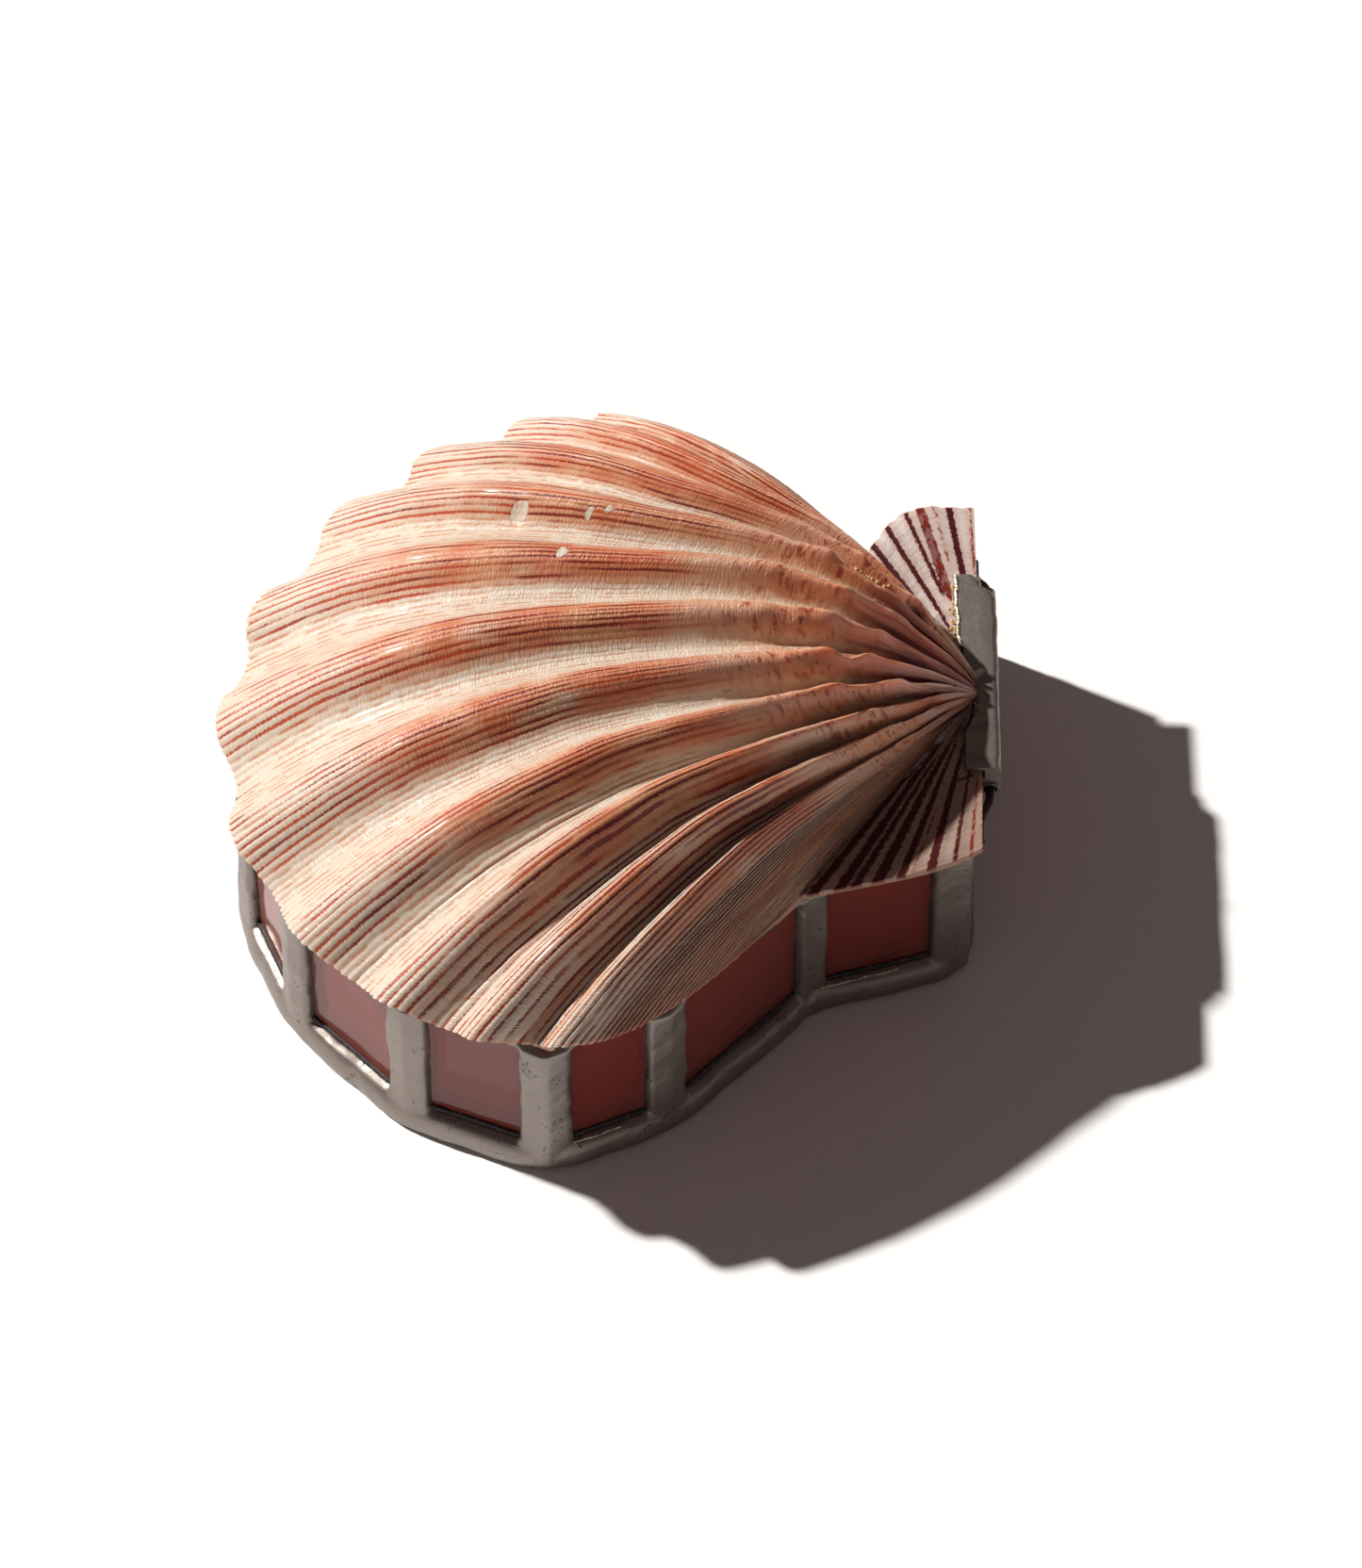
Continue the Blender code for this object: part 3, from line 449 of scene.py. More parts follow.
bm = bmesh.new()
bm.from_mesh(shell_mesh)
bmesh.ops.delete(bm, geom=[v for v in bm.verts if not v.link_faces], context='VERTS')
split_long_faces(bm)
shell_form = put_in_scene("shell_form", finished_mesh(bm, shell_mesh))


def colour(red, green, blue):
    """A screen colour, 0 to 255 each, as the shader's linear values."""
    linear = [((c / 255 + 0.055) / 1.055) ** 2.4 if c > 10 else c / 3294.6 for c in (red, green, blue)]
    return (*linear, 1.0)


class Bench:
    """Short calls that add nodes to one node tree, for a material or for geometry."""

    def __init__(self, tree):
        self.tree = tree

    def add(self, kind, inputs=None, **settings):
        node = self.tree.nodes.new(kind)
        for name, value in settings.items():
            setattr(node, name, value)
        for key, value in (inputs or {}).items():
            self.feed(node.inputs[key], value)
        return node

    def feed(self, socket, value):
        if isinstance(value, bpy.types.NodeSocket):
            self.tree.links.new(value, socket)
        else:
            socket.default_value = value

    def math(self, operation, *values):
        return self.add('ShaderNodeMath', dict(enumerate(values)), operation=operation).outputs[0]

    def plus(self, first, second):
        return self.math('ADD', first, second)

    def minus(self, first, second):
        return self.math('SUBTRACT', first, second)

    def times(self, *values):
        """The product of several shares."""
        return functools.reduce(lambda first, second: self.math('MULTIPLY', first, second), values)

    def less(self, share):
        """What the share leaves of one."""
        return self.minus(1.0, share)

    def scaled(self, value, factor, start):
        return self.math('MULTIPLY_ADD', value, factor, start)

    def swing(self, value, amount):
        """A noise value turned into a swing of the given size about zero."""
        return self.scaled(value, amount, -0.5 * amount)

    def rise(self, value, low, high):
        """0 below low and 1 above high, with a smooth rise between them."""
        node = self.add('ShaderNodeMapRange', {"Value": value, "From Min": low, "From Max": high},
                        interpolation_type='SMOOTHSTEP')
        return node.outputs[0]

    def vector(self, x, y=0.0, z=0.0):
        return self.add('ShaderNodeCombineXYZ', {"X": x, "Y": y, "Z": z}).outputs[0]

    def noise(self, vector, scale=1.0, detail=2.0, rough=0.5):
        node = self.add('ShaderNodeTexNoise', {"Vector": vector, "Scale": scale, "Detail": detail,
                                               "Roughness": rough})
        return node.outputs[0]

    def blend(self, share, low, high):
        """Between two colours, each a socket or a screen colour."""
        node = self.add('ShaderNodeMix', data_type='RGBA')
        self.feed(node.inputs[0], share)
        for socket, value in ((6, low), (7, high)):
            self.feed(node.inputs[socket], colour(*value) if isinstance(value, tuple) else value)
        return node.outputs[2]


class Finish(Bench):
    """A material on the Principled shader, with plain values given by socket name."""

    def __init__(self, name, plain):
        self.material = bpy.data.materials.new(name)
        self.material.use_nodes = True
        super().__init__(self.material.node_tree)
        self.shader = self.tree.nodes["Principled BSDF"]
        for socket, value in plain.items():
            self.shader.inputs[socket].default_value = value
        self.place = self.add('ShaderNodeTexCoord').outputs["Object"]

    def attribute(self, name):
        return self.add('ShaderNodeAttribute', attribute_name=name).outputs["Fac"]

    def set(self, socket, value):
        self.feed(self.shader.inputs[socket], value)

    def bump(self, height, distance, strength=1.0):
        inputs = {"Height": height, "Distance": distance, "Strength": strength}
        self.set("Normal", self.add('ShaderNodeBump', inputs).outputs[0])


# Natural shell: waxy cream lime. Dark red lines lie in the furrows between the cords, thick on the
# ribs' crests and on the near side. The young part by the beak is mauve and maroon, then orange.
lime = Finish("shell", {"Roughness": 0.36, "Specular IOR Level": 0.3, "Coat Weight": 0.07,
                        "Coat Roughness": 0.15, "Subsurface Weight": 0.3,
                        "Subsurface Radius": (1.0, 0.4, 0.22), "Subsurface Scale": 0.003})
times, plus, minus, less = lime.times, lime.plus, lime.minus, lime.less
rise, blend, swing, scaled = lime.rise, lime.blend, lime.swing, lime.scaled
rib_at = lime.attribute("around")
grown = lime.attribute("growth")
furrow = lime.attribute("riblet")
knob = lime.attribute("knob")
is_outside = lime.attribute("outside")
on_ear = rise(lime.math('ABSOLUTE', rib_at), RIB_EDGE + 0.0005, RIB_EDGE + 0.01)
near_side = rise(rib_at, 2.5, 3.9)
far_side = rise(times(rib_at, -1.0), 2.6, 4.0)
flank = rise(lime.math('ABSOLUTE', rib_at), 4.9, 6.0)
band_turn = lime.math('COSINE', times(minus(rib_at, 0.1), 2 * math.pi))
crest = rise(band_turn, -0.35, 0.65)


def along_growth(across, across_scale, along_scale, seed=0.0, detail=2.0):
    """Noise laid out by a number across the ribs and by the growth."""
    place = lime.vector(times(across, across_scale), times(grown, along_scale), seed)
    return lime.noise(place, 1.0, detail)


number = lime.math('FLOOR', furrow)
from_furrow = lime.math('ABSOLUTE', minus(lime.math('FRACT', furrow), 0.5))
teeth = along_growth(furrow, 1.5, 400, 0.0, 1.0)
frayed = along_growth(number, 3.37, 9)
from_furrow = plus(from_furrow, swing(teeth, 0.4))
from_furrow = plus(from_furrow, swing(frayed, 0.24))
start_stop = along_growth(number, 7.31, 7, 5.1, 3.0)
dashes = along_growth(number, 5.17, 34, 8.4, 2.0)
patchy = along_growth(rib_at, 1.1, 6, 3.3, 3.0)

# cream body, with tan on the crests between a third and four fifths of the growth
cream = blend(patchy, (203, 182, 160), (223, 210, 195))
tan_place = times(rise(grown, 0.3, 0.46), less(rise(grown, 0.66, 0.95)),
                  lime.math('MAXIMUM', crest, times(far_side, 0.7)))
tan_share = times(tan_place, rise(plus(patchy, swing(start_stop, 0.8)), 0.14, 0.46))
body = blend(times(tan_share, 0.8), cream, (218, 150, 104))
rust = along_growth(rib_at, 0.9, 11, 12.0, 3.0)
rust_share = times(tan_place, rise(rust, 0.36, 0.6), 0.75)
body = blend(rust_share, body, (204, 116, 78))
cord_tan = rise(along_growth(lime.math('ROUND', furrow), 4.7, 1.5, 6.0), 0.55, 0.62)
body = blend(times(cord_tan, near_side, 0.6), body, (200, 140, 98))
body = blend(times(flank, scaled(patchy, 0.7, 0.35)), body, (190, 128, 98))
body = blend(times(flank, far_side, 0.85), body, (158, 104, 78))

# the young shell: orange tan with fine cross flecks and maroon bands, then mauve and maroon
young_edge = plus(grown, swing(patchy, 0.1))
middle_age = less(rise(young_edge, 0.24, 0.44))
flecks = along_growth(rib_at, 9.0, 70, 1.7, 3.0)
orange = blend(rise(flecks, 0.42, 0.62), (240, 198, 154), (222, 134, 80))
orange = blend(crest, orange, blend(flecks, (238, 178, 136), (214, 118, 74)))
body = blend(times(middle_age, scaled(crest, 0.4, 0.5)), body, orange)
bands = along_growth(rib_at, 5.5, 150, 1.7, 2.0)
band_share = times(rise(bands, 0.46, 0.66), rise(grown, 0.13, 0.19),
                   less(rise(grown, 0.31, 0.4)),
                   scaled(crest, 0.75, 0.25),
                   rise(along_growth(rib_at, 7, 26, 4.0, 2.0), 0.38, 0.56))
body = blend(times(band_share, 0.8), body, (158, 50, 42))
# the young troughs on the near side are painted brown: partly their own colour, partly painted shade over
# the sunlit trough bottoms
near_trough_painted_shade = times(less(crest), rise(rib_at, 1.2, 2.0), less(rise(young_edge, 0.34, 0.5)))
body = blend(times(near_trough_painted_shade, 0.5), body, (168, 108, 80))
youngest = less(rise(young_edge, 0.11, 0.24))
umbo = blend(rise(band_turn, -0.1, 0.95), (92, 30, 28), (228, 170, 150))
umbo = blend(rise(patchy, 0.52, 0.72), umbo, (206, 116, 72))
thin_rays = along_growth(rib_at, 11.0, 5, 2.6, 2.0)
umbo = blend(times(rise(thin_rays, 0.5, 0.62), 0.5), umbo, (138, 56, 52))
body = blend(youngest, body, umbo)
# the knobs' tips: orange, and in patches a pale pink that is a painted highlight on their tops
knob_tip_colour_and_highlight = blend(rise(patchy, 0.4, 0.6), (232, 124, 66), (226, 176, 156))
body = blend(times(rise(knob, 0.3, 0.8), 0.75), body, knob_tip_colour_and_highlight)

# lines: strong on the crests and the near side, faint dashes in the troughs
line_starts = rise(plus(grown, swing(start_stop, 0.3)), 0.34, 0.48)
liking = times(crest, 0.27)
liking = lime.math('MAXIMUM', liking, times(near_side, 0.32))
liking = lime.math('MAXIMUM', liking, times(far_side, 0.14))
strength = rise(plus(start_stop, liking), 0.62, 0.78)
wide = scaled(near_side, -0.02, scaled(start_stop, 0.26, 0.03))
wide = scaled(rise(grown, 0.6, 1.0), -0.07, wide)
line = less(rise(from_furrow, wide, plus(wide, 0.11)))
unbroken = lime.math('MAXIMUM', crest, near_side)
unbroken = rise(plus(dashes, times(unbroken, 0.3)), 0.42, 0.52)
line = times(line, strength, unbroken, lime.math('MAXIMUM', line_starts, flank))
middle = times(rise(grown, 0.4, 0.5), less(rise(grown, 0.62, 0.82)))
darkness = plus(along_growth(number, 2.3, 5, 9.0), times(near_side, 0.15))
dark = rise(plus(darkness, times(middle, 0.12)), 0.46, 0.66)
line_colour = blend(dark, (184, 78, 50), (122, 32, 34))
line_colour = blend(flank, line_colour, (80, 32, 28))
faint = less(rise(from_furrow, 0.1, 0.28))
faint = times(faint, rise(dashes, 0.42, 0.56), rise(grown, 0.36, 0.5), 0.75)
body = blend(faint, body, (196, 132, 94))
body = blend(times(line, 0.92), body, line_colour)

# the ears: greyish white, with broad dark rays that fray, fine lines across them and one dark scar
in_ray = lime.attribute("ray")
ray_red = lime.attribute("ray_red")
ragged = along_growth(rib_at, 34.0, 46, 6.0, 3.0)
tattered = along_growth(rib_at, 60.0, 26, 2.2, 3.0)
ray_depth = plus(in_ray, swing(ragged, 0.7))
ray_gap = rise(along_growth(rib_at, 14.0, 17, 11.0, 2.0), 0.4, 0.52)
whole_ray = lime.math('MAXIMUM', ray_gap, less(rise(ray_red, 0.5, 0.8)))
ray = times(rise(ray_depth, -0.08, 0.14), scaled(whole_ray, 0.75, 0.25))
ear_ground = blend(patchy, (205, 188, 178), (238, 228, 222))
# the near ear's ground is painted darker and greyer than the far ear's: painted shade
near_ear_painted_shade = blend(patchy, (150, 130, 114), (202, 186, 172))
ear_ground = blend(near_side, ear_ground, near_ear_painted_shade)
cross = rise(along_growth(rib_at, 3, 60, 2.0), 0.56, 0.66)
ear_ground = blend(times(cross, 0.28), ear_ground, (146, 112, 98))
ear_ground = blend(times(rise(in_ray, -1.1, 0.0), 0.35), ear_ground, (196, 140, 120))
redder = rise(plus(ray_red, swing(tattered, 0.9)), 0.3, 0.85)
ray_colour = blend(redder, (82, 28, 30), (146, 54, 42))
ear_colour = blend(ray, ear_ground, ray_colour)
scar_bend = plus(grown, swing(along_growth(rib_at, 5, 0.1, 9.0), 0.03))
scratch = less(rise(lime.math('ABSOLUTE', minus(scar_bend, 0.51)), 0.006, 0.013))
scratch = times(scratch, rise(rib_at, RIB_EDGE + 0.56, RIB_EDGE + 0.62),
                less(rise(rib_at, RIB_EDGE + 0.84, RIB_EDGE + 0.9)))
ear_colour = blend(times(scratch, 0.85), ear_colour, (58, 40, 36))
scarred = rise(plus(lime.attribute("scar"), swing(tattered, 0.5)), 0.25, 0.7)
chipped = rise(plus(lime.attribute("scar"), swing(tattered, 0.3)), 0.45, 0.65)
body = blend(times(scarred, 0.6), body, (128, 84, 62))
body = blend(times(chipped, 0.85), body, (226, 214, 198))
body = blend(on_ear, body, ear_colour)
lining = blend(rise(plus(grown, swing(patchy, 0.15)), 0.6, 0.95), (216, 203, 188),
               (190, 146, 124))
body = blend(is_outside, lining, body)
lime.set("Base Color", body)

# growth lines every 0.3 mm, which cross the cords, and a faint chalky grain
growth_lines = along_growth(furrow, 0.9, 380, 0.0, 2.0)
coarse_lines = along_growth(rib_at, 2.0, 110, 7.0, 2.0)
grain = lime.noise(lime.place, 1100.0, 2.0)
old = rise(grown, 0.1, 0.35)
relief = times(growth_lines, is_outside, old)
relief = plus(relief, times(coarse_lines, is_outside, 0.7))
relief = plus(relief, times(grain, 0.2))
lime.bump(relief, 0.00022, 0.9)
lime.set("Roughness", scaled(growth_lines, 0.25, 0.22))


class Recipe(Bench):
    """A geometry tree with named inputs, which is run on a form and leaves a plain mesh piece."""

    def __init__(self, name, inputs):
        super().__init__(bpy.data.node_groups.new(name, 'GeometryNodeTree'))
        self.sockets = {}
        inputs = {"Geometry": ('Geometry', None), **inputs, "Finish": ('Material', None)}
        for label, (kind, value) in inputs.items():
            socket = self.tree.interface.new_socket(label, in_out='INPUT', socket_type='NodeSocket' + kind)
            self.sockets[label] = (socket.identifier, value)
        self.tree.interface.new_socket("Geometry", in_out='OUTPUT', socket_type='NodeSocketGeometry')
        self.given = self.add('NodeGroupInput').outputs

    def close(self, geometry):
        real = self.add('GeometryNodeRealizeInstances', {"Geometry": geometry}).outputs[0]
        dressed = self.add('GeometryNodeSetMaterial', {"Geometry": real, "Material": self.given["Finish"]})
        self.add('NodeGroupOutput', {0: dressed.outputs[0]})

    def scale_vector(self, vector, by):
        return self.add('ShaderNodeVectorMath', {0: vector, "Scale": by}, operation='SCALE').outputs[0]

    def bake(self, form, name, **values):
        modifier = form.modifiers.new(name, 'NODES')
        modifier.node_group = self.tree
        for label, (identifier, value) in self.sockets.items():
            value = values.get(label, value)
            if value is not None:
                modifier[identifier] = value
        bpy.context.view_layer.update()
        evaluated = form.evaluated_get(bpy.context.evaluated_depsgraph_get())
        mesh = bpy.data.meshes.new_from_object(evaluated)
        form.modifiers.remove(modifier)
        bpy.data.objects.remove(form, do_unlink=True)
        return put_in_scene(name, mesh)


# The cords stand on the ribs, follow the growth, wander a little and differ in height
cords = Recipe("riblets", {"Height": ('Float', 0.14 * MM), "Wander": ('Float', 0.9),
                           "Seed": ('Float', 4.0)})
named = {}
for label in ("around", "growth", "outside", "cord", "cord_size"):
    node = cords.add('GeometryNodeInputNamedAttribute', {"Name": label}, data_type='FLOAT')
    named[label] = node.outputs[0]
seed = cords.given["Seed"]
on_disc = cords.math('GREATER_THAN', named["cord_size"], 0.001)
bend = cords.vector(cords.times(named["around"], 1.1), cords.times(named["growth"], 5), seed)
bend = cords.noise(bend, 1.0, 2.0)
bend = cords.times(cords.minus(bend, 0.5), cords.given["Wander"], cords.scaled(on_disc, 0.6, 0.4))
phase = cords.plus(named["cord"], bend)
ridge = cords.math('ABSOLUTE', cords.math('COSINE', cords.times(phase, math.pi)))
ridge = cords.math('POWER', ridge, 0.9)
size = cords.vector(cords.times(cords.math('ROUND', phase), 5.13), cords.times(named["growth"], 4), seed)
size = cords.noise(size, 1.0, 1.0)
threads = cords.noise(cords.vector(cords.times(phase, 0.7), cords.times(named["growth"], 95)), 1.0, 2.0)
early = cords.rise(named["around"], 1.8, 3.6)
grows = cords.rise(cords.plus(named["growth"], cords.times(early, 0.16)), 0.3, 0.58)
lift = cords.times(ridge, grows, cords.scaled(size, 1.2, 0.4), cords.scaled(threads, 0.9, 0.55),
                   cords.times(named["outside"], named["cord_size"]), cords.given["Height"])
stored = cords.add('GeometryNodeStoreNamedAttribute',
                   {"Geometry": cords.given["Geometry"], "Name": "riblet"},
                   data_type='FLOAT', domain='POINT')
cords.feed([s for s in stored.inputs if s.name == "Value" and s.enabled][0], phase)
push = cords.scale_vector(cords.add('GeometryNodeInputNormal').outputs[0], lift)
pushed = cords.add('GeometryNodeSetPosition', {"Geometry": stored.outputs[0], "Offset": push})
cords.close(pushed.outputs[0])

shell = cords.bake(shell_form, "shell", Finish=lime.material)
shell.data.shade_smooth()
shell.data.set_sharp_from_angle(angle=math.radians(60))
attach(shell, "lid")
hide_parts("scallop_shell")

# Soldered frame: fourteen posts, a thin top rim and a wide base rim of tin solder, run over copper
# foil on the edges of the panes and dressed with a file, so its corners are soft and a bit lumpy.
# Every pane edge lies inside it.
WALL_CORNERS = ((13.11, -56.81), (31.75, -48.89), (49.17, -31.32), (57.41, -10.12), (49.75, 8.29),
                (27.66, 30.14), (20.8, 54.0), (-40.42, 54.0), (-32.3, 33.96), (-52.19, 13.22),
                (-55.15, -12.73), (-46.08, -32.87), (-29.99, -48.0), (-9.62, -57.5))
WALL_HEIGHT = 33.0 * MM
GLASS_THICKNESS = 3.0 * MM
POST_COVER = 1.9 * MM
SOLDER_CORE = 0.9 * MM
SOLDER_BULGE = 1.5 * MM
POST_SOFT_EDGE = 0.35 * MM
POST_LAP = 0.5 * MM
BASE_RIM_HEIGHT = 5.8 * MM
BASE_RIM_BULGE = 2.5 * MM
TOP_RIM_BULGE = 0.9 * MM
TOP_RIM_HEIGHT = 1.8 * MM
SOLDER_GRAIN = 0.515 * MM
# How far from a corner the rims begin to bend, at an inward and at an outward corner
CORNER_BEND = (3.0 * MM, 6.0 * MM)
# How unevenly the rims and the posts were run, and the lumps and dents left in the solder
RIM_SWAY = 0.22 * MM
POST_SWAY = 0.16 * MM
POST_FLARE = 0.7 * MM
LUMP_HEIGHT = 0.12 * MM
DENT_HEIGHT = 0.05 * MM


class WallCorner:
    """One corner of the glass wall: its place and the directions of its two panes."""

    def __init__(self, index):
        places = [Vector(c) * MM for c in WALL_CORNERS]
        self.point = places[index]
        self.back = (places[index - 1] - self.point).normalized()
        self.ahead = (places[(index + 1) % len(places)] - self.point).normalized()
        self.normal_back = Vector((-self.back.y, self.back.x))
        self.normal_ahead = Vector((self.ahead.y, -self.ahead.x))
        bisector = (self.normal_back + self.normal_ahead).normalized()
        self.mitre = bisector / bisector.dot(self.normal_ahead)
        self.convex = self.ahead.x * self.back.y > self.ahead.y * self.back.x
        lean = math.tan(math.acos(min(bisector.dot(self.normal_ahead), 1.0))) * GLASS_THICKNESS
        self.glass_end = SOLDER_CORE + (lean if self.convex else 0.0)

    def offset(self, distance):
        return self.point + self.mitre * distance

    def beside(self, side, along, out):
        """A place along the pane behind (-1) or ahead (1), and so far out from its face."""
        if side < 0:
            return self.point + self.back * along + self.normal_back * out
        return self.point + self.ahead * along + self.normal_ahead * out


corners = [WallCorner(i) for i in range(len(WALL_CORNERS))]
# Each bay of the wall runs from one corner to the next
bays = list(zip(corners, corners[1:] + corners[:1]))


def wall_path(spacing):
    """Stations round the wall, each with its place and its outward direction, rounded at the corners."""
    stations = []
    for corner, following in bays:
        bend, next_bend = CORNER_BEND[corner.convex], CORNER_BEND[following.convex]
        for k in range(9):
            turn = k / 8
            place = corner.point + corner.back * bend * (1 - turn) ** 2 + corner.ahead * bend * turn ** 2
            out = corner.normal_back * (1 - turn) + corner.normal_ahead * turn
            stations.append((place, out.normalized()))
        run = following.point - corner.point
        straight = run.length - bend - next_bend
        steps = max(round(straight / spacing), 1)
        for k in range(1, steps):
            place = corner.point + corner.ahead * (bend + straight * k / steps)
            stations.append((place, corner.normal_ahead))
    return stations


def wobble(along, seed, across=0.0):
    """One smooth random value between -1 and 1."""
    return float(drift(np.float64(along), np.float64(across), seed))


def skin(bm, rings):
    """Faces between neighbouring rings of as many points each."""
    for ring, other in zip(rings, rings[1:]):
        for j in range(len(ring)):
            m = (j + 1) % len(ring)
            bm.faces.new((ring[j], ring[m], other[m], other[j]))


def swept_rim(bm, stations, section, seed):
    """A closed section of (offset, height) carried round the wall, a little unevenly."""
    rings = []
    for k, (place, out) in enumerate(stations):
        sway = wobble(k * 0.37, seed) * RIM_SWAY
        ring = []
        for distance, height in section:
            spot = place + out * (distance + (sway if distance > 0 else -sway * 0.5))
            ring.append(bm.verts.new((spot.x, spot.y, height)))
        rings.append(ring)
    lengths = list(zip(*rings))
    skin(bm, lengths + lengths[:1])


def rounded_post(bm, corner, low, high, seed):
    """A post that laps over both pane ends, with soft edges and an uneven width."""
    inner = -GLASS_THICKNESS
    rings = []
    for k in range(13):
        share = k / 12
        sway = wobble(k * 0.8, 21.0, seed) * POST_SWAY
        reach = corner.glass_end + POST_COVER + sway + POST_FLARE * (max(0, 0.2 - share) / 0.2) ** 2
        bulge = SOLDER_BULGE + 0.3 * sway
        outline = [
            corner.beside(-1, reach, POST_LAP), corner.beside(-1, reach - POST_SOFT_EDGE, 0.95 * bulge),
            corner.offset(bulge),
            corner.beside(1, reach - POST_SOFT_EDGE, 0.95 * bulge), corner.beside(1, reach, POST_LAP),
            corner.beside(1, reach, inner - POST_LAP), corner.offset(inner - bulge),
            corner.beside(-1, reach, inner - POST_LAP),
        ]
        height = low + (high - low) * share
        rings.append([bm.verts.new((p.x, p.y, height)) for p in outline])
    skin(bm, rings)
    bm.faces.new(rings[0][::-1])
    bm.faces.new(rings[-1])


glass_back = -GLASS_THICKNESS
base_section = ((glass_back - 1.2 * MM, 0.0), (0.75 * BASE_RIM_BULGE, 0.0), (BASE_RIM_BULGE, 0.9 * MM),
                (BASE_RIM_BULGE, 2.6 * MM), (0.9 * BASE_RIM_BULGE, 4.0 * MM),
                (0.62 * BASE_RIM_BULGE, 5.2 * MM), (0.3 * MM, 5.7 * MM), (-0.6 * MM, 5.5 * MM),
                (glass_back + 0.6 * MM, 5.5 * MM), (glass_back - 0.6 * MM, BASE_RIM_HEIGHT),
                (glass_back - 1.2 * MM, 4.7 * MM))
rim_low = WALL_HEIGHT - TOP_RIM_HEIGHT
top_section = [(out, rim_low + share * TOP_RIM_HEIGHT) for out, share in (
    (glass_back - 0.6 * MM, 0), (0.5 * MM, 0), (TOP_RIM_BULGE, 0.2), (TOP_RIM_BULGE, 0.6),
    (0.7 * TOP_RIM_BULGE, 0.9), (0.0, 1), (glass_back, 1), (glass_back - 1.1 * MM, 0.84),
    (glass_back - 1.2 * MM, 0.34))]
bm = bmesh.new()
stations = wall_path(2.2 * MM)
swept_rim(bm, stations, base_section, 31.0)
swept_rim(bm, stations, top_section, 32.0)
for i, corner in enumerate(corners):
    rounded_post(bm, corner, 1.5 * MM, WALL_HEIGHT - 0.9 * MM, float(i))
solder = put_in_scene("solder", finished_mesh(bm, bpy.data.meshes.new("solder_form")))
# the overlapping runs melt into one skin, which then settles
melt = solder.modifiers.new("melt", 'REMESH')
melt.mode = 'VOXEL'
melt.voxel_size = SOLDER_GRAIN
melt.adaptivity = 0.0
settle = solder.modifiers.new("settle", 'SMOOTH')
settle.factor = 0.5
settle.iterations = 3
bpy.context.view_layer.update()
settled = solder.evaluated_get(bpy.context.evaluated_depsgraph_get())
settled = bpy.data.meshes.new_from_object(settled)
solder.modifiers.clear()
solder.data = settled
settled.shade_smooth()
points, normals = np.empty((2, len(settled.vertices), 3))
for what, values in (("co", points), ("normal", normals)):
    settled.vertices.foreach_get(what, values.ravel())
x, y, z = (points / MM).T
lumps = drift(x / 4 + z / 5, y / 4 - z / 6, 41) * LUMP_HEIGHT
dents = drift(x / 1.6 + z / 1.9, y / 1.6 - z / 1.5, 42) * DENT_HEIGHT
points += normals * (lumps + dents)[:, None]
points[:, 2] = np.clip(points[:, 2], 0.0, WALL_HEIGHT)
settled.vertices.foreach_set("co", points.ravel())
settled.update()

# Dressed tin solder: warm grey, filed across, with clustered pits and a dark film in the hollows
tinned = Finish("solder", {"Metallic": 0.8, "Roughness": 0.4})
brushed = tinned.add('ShaderNodeMapping', {"Vector": tinned.place, "Scale": (150, 150, 2600)}).outputs[0]
strokes = tinned.noise(brushed, 1.0, 3.0, 0.6)
clouds = tinned.noise(tinned.place, 170.0, 4.0, 0.6)
pits = tinned.noise(tinned.place, 1300.0, 2.0, 0.4)
pit = tinned.times(tinned.rise(pits, 0.6, 0.67), tinned.rise(clouds, 0.5, 0.6))
tin = tinned.blend(clouds, (130, 120, 112), (160, 150, 142))
tin = tinned.blend(tinned.times(tinned.rise(strokes, 0.5, 0.75), 0.35), tin, (124, 113, 105))
tin = tinned.blend(tinned.times(tinned.rise(clouds, 0.58, 0.7), 0.4), tin, (100, 89, 82))
tin = tinned.blend(tinned.times(pit, 0.6), tin, (60, 52, 48))
tinned.set("Base Color", tin)
tinned.set("Roughness", tinned.scaled(clouds, 0.2, 0.32))
roughed = tinned.minus(tinned.plus(strokes, tinned.times(clouds, 1.2)), pit)
tinned.bump(roughed, 0.00009, 0.8)
settled.materials.clear()
settled.materials.append(tinned.material)
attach(solder, "box")
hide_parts("solder_frame")

# Glass: fourteen flat panes and the base, dusky pink sheet glass 3 mm thick with a faintly uneven
# surface. The panes' edges lie in the solder.
glass = Finish("pink_glass", {"Base Color": colour(214, 104, 90), "Roughness": 0.05,
                              "IOR": 1.38, "Transmission Weight": 0.75, "Alpha": 0.85})
waves = glass.noise(glass.place, 30.0, 1.0, 0.4)
glass.bump(waves, 0.0006, 0.12)
for node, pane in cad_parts.items():
    if node.startswith("glass_pane") or node == "base_glass":
        for slot in pane.material_slots:
            slot.material = glass.material

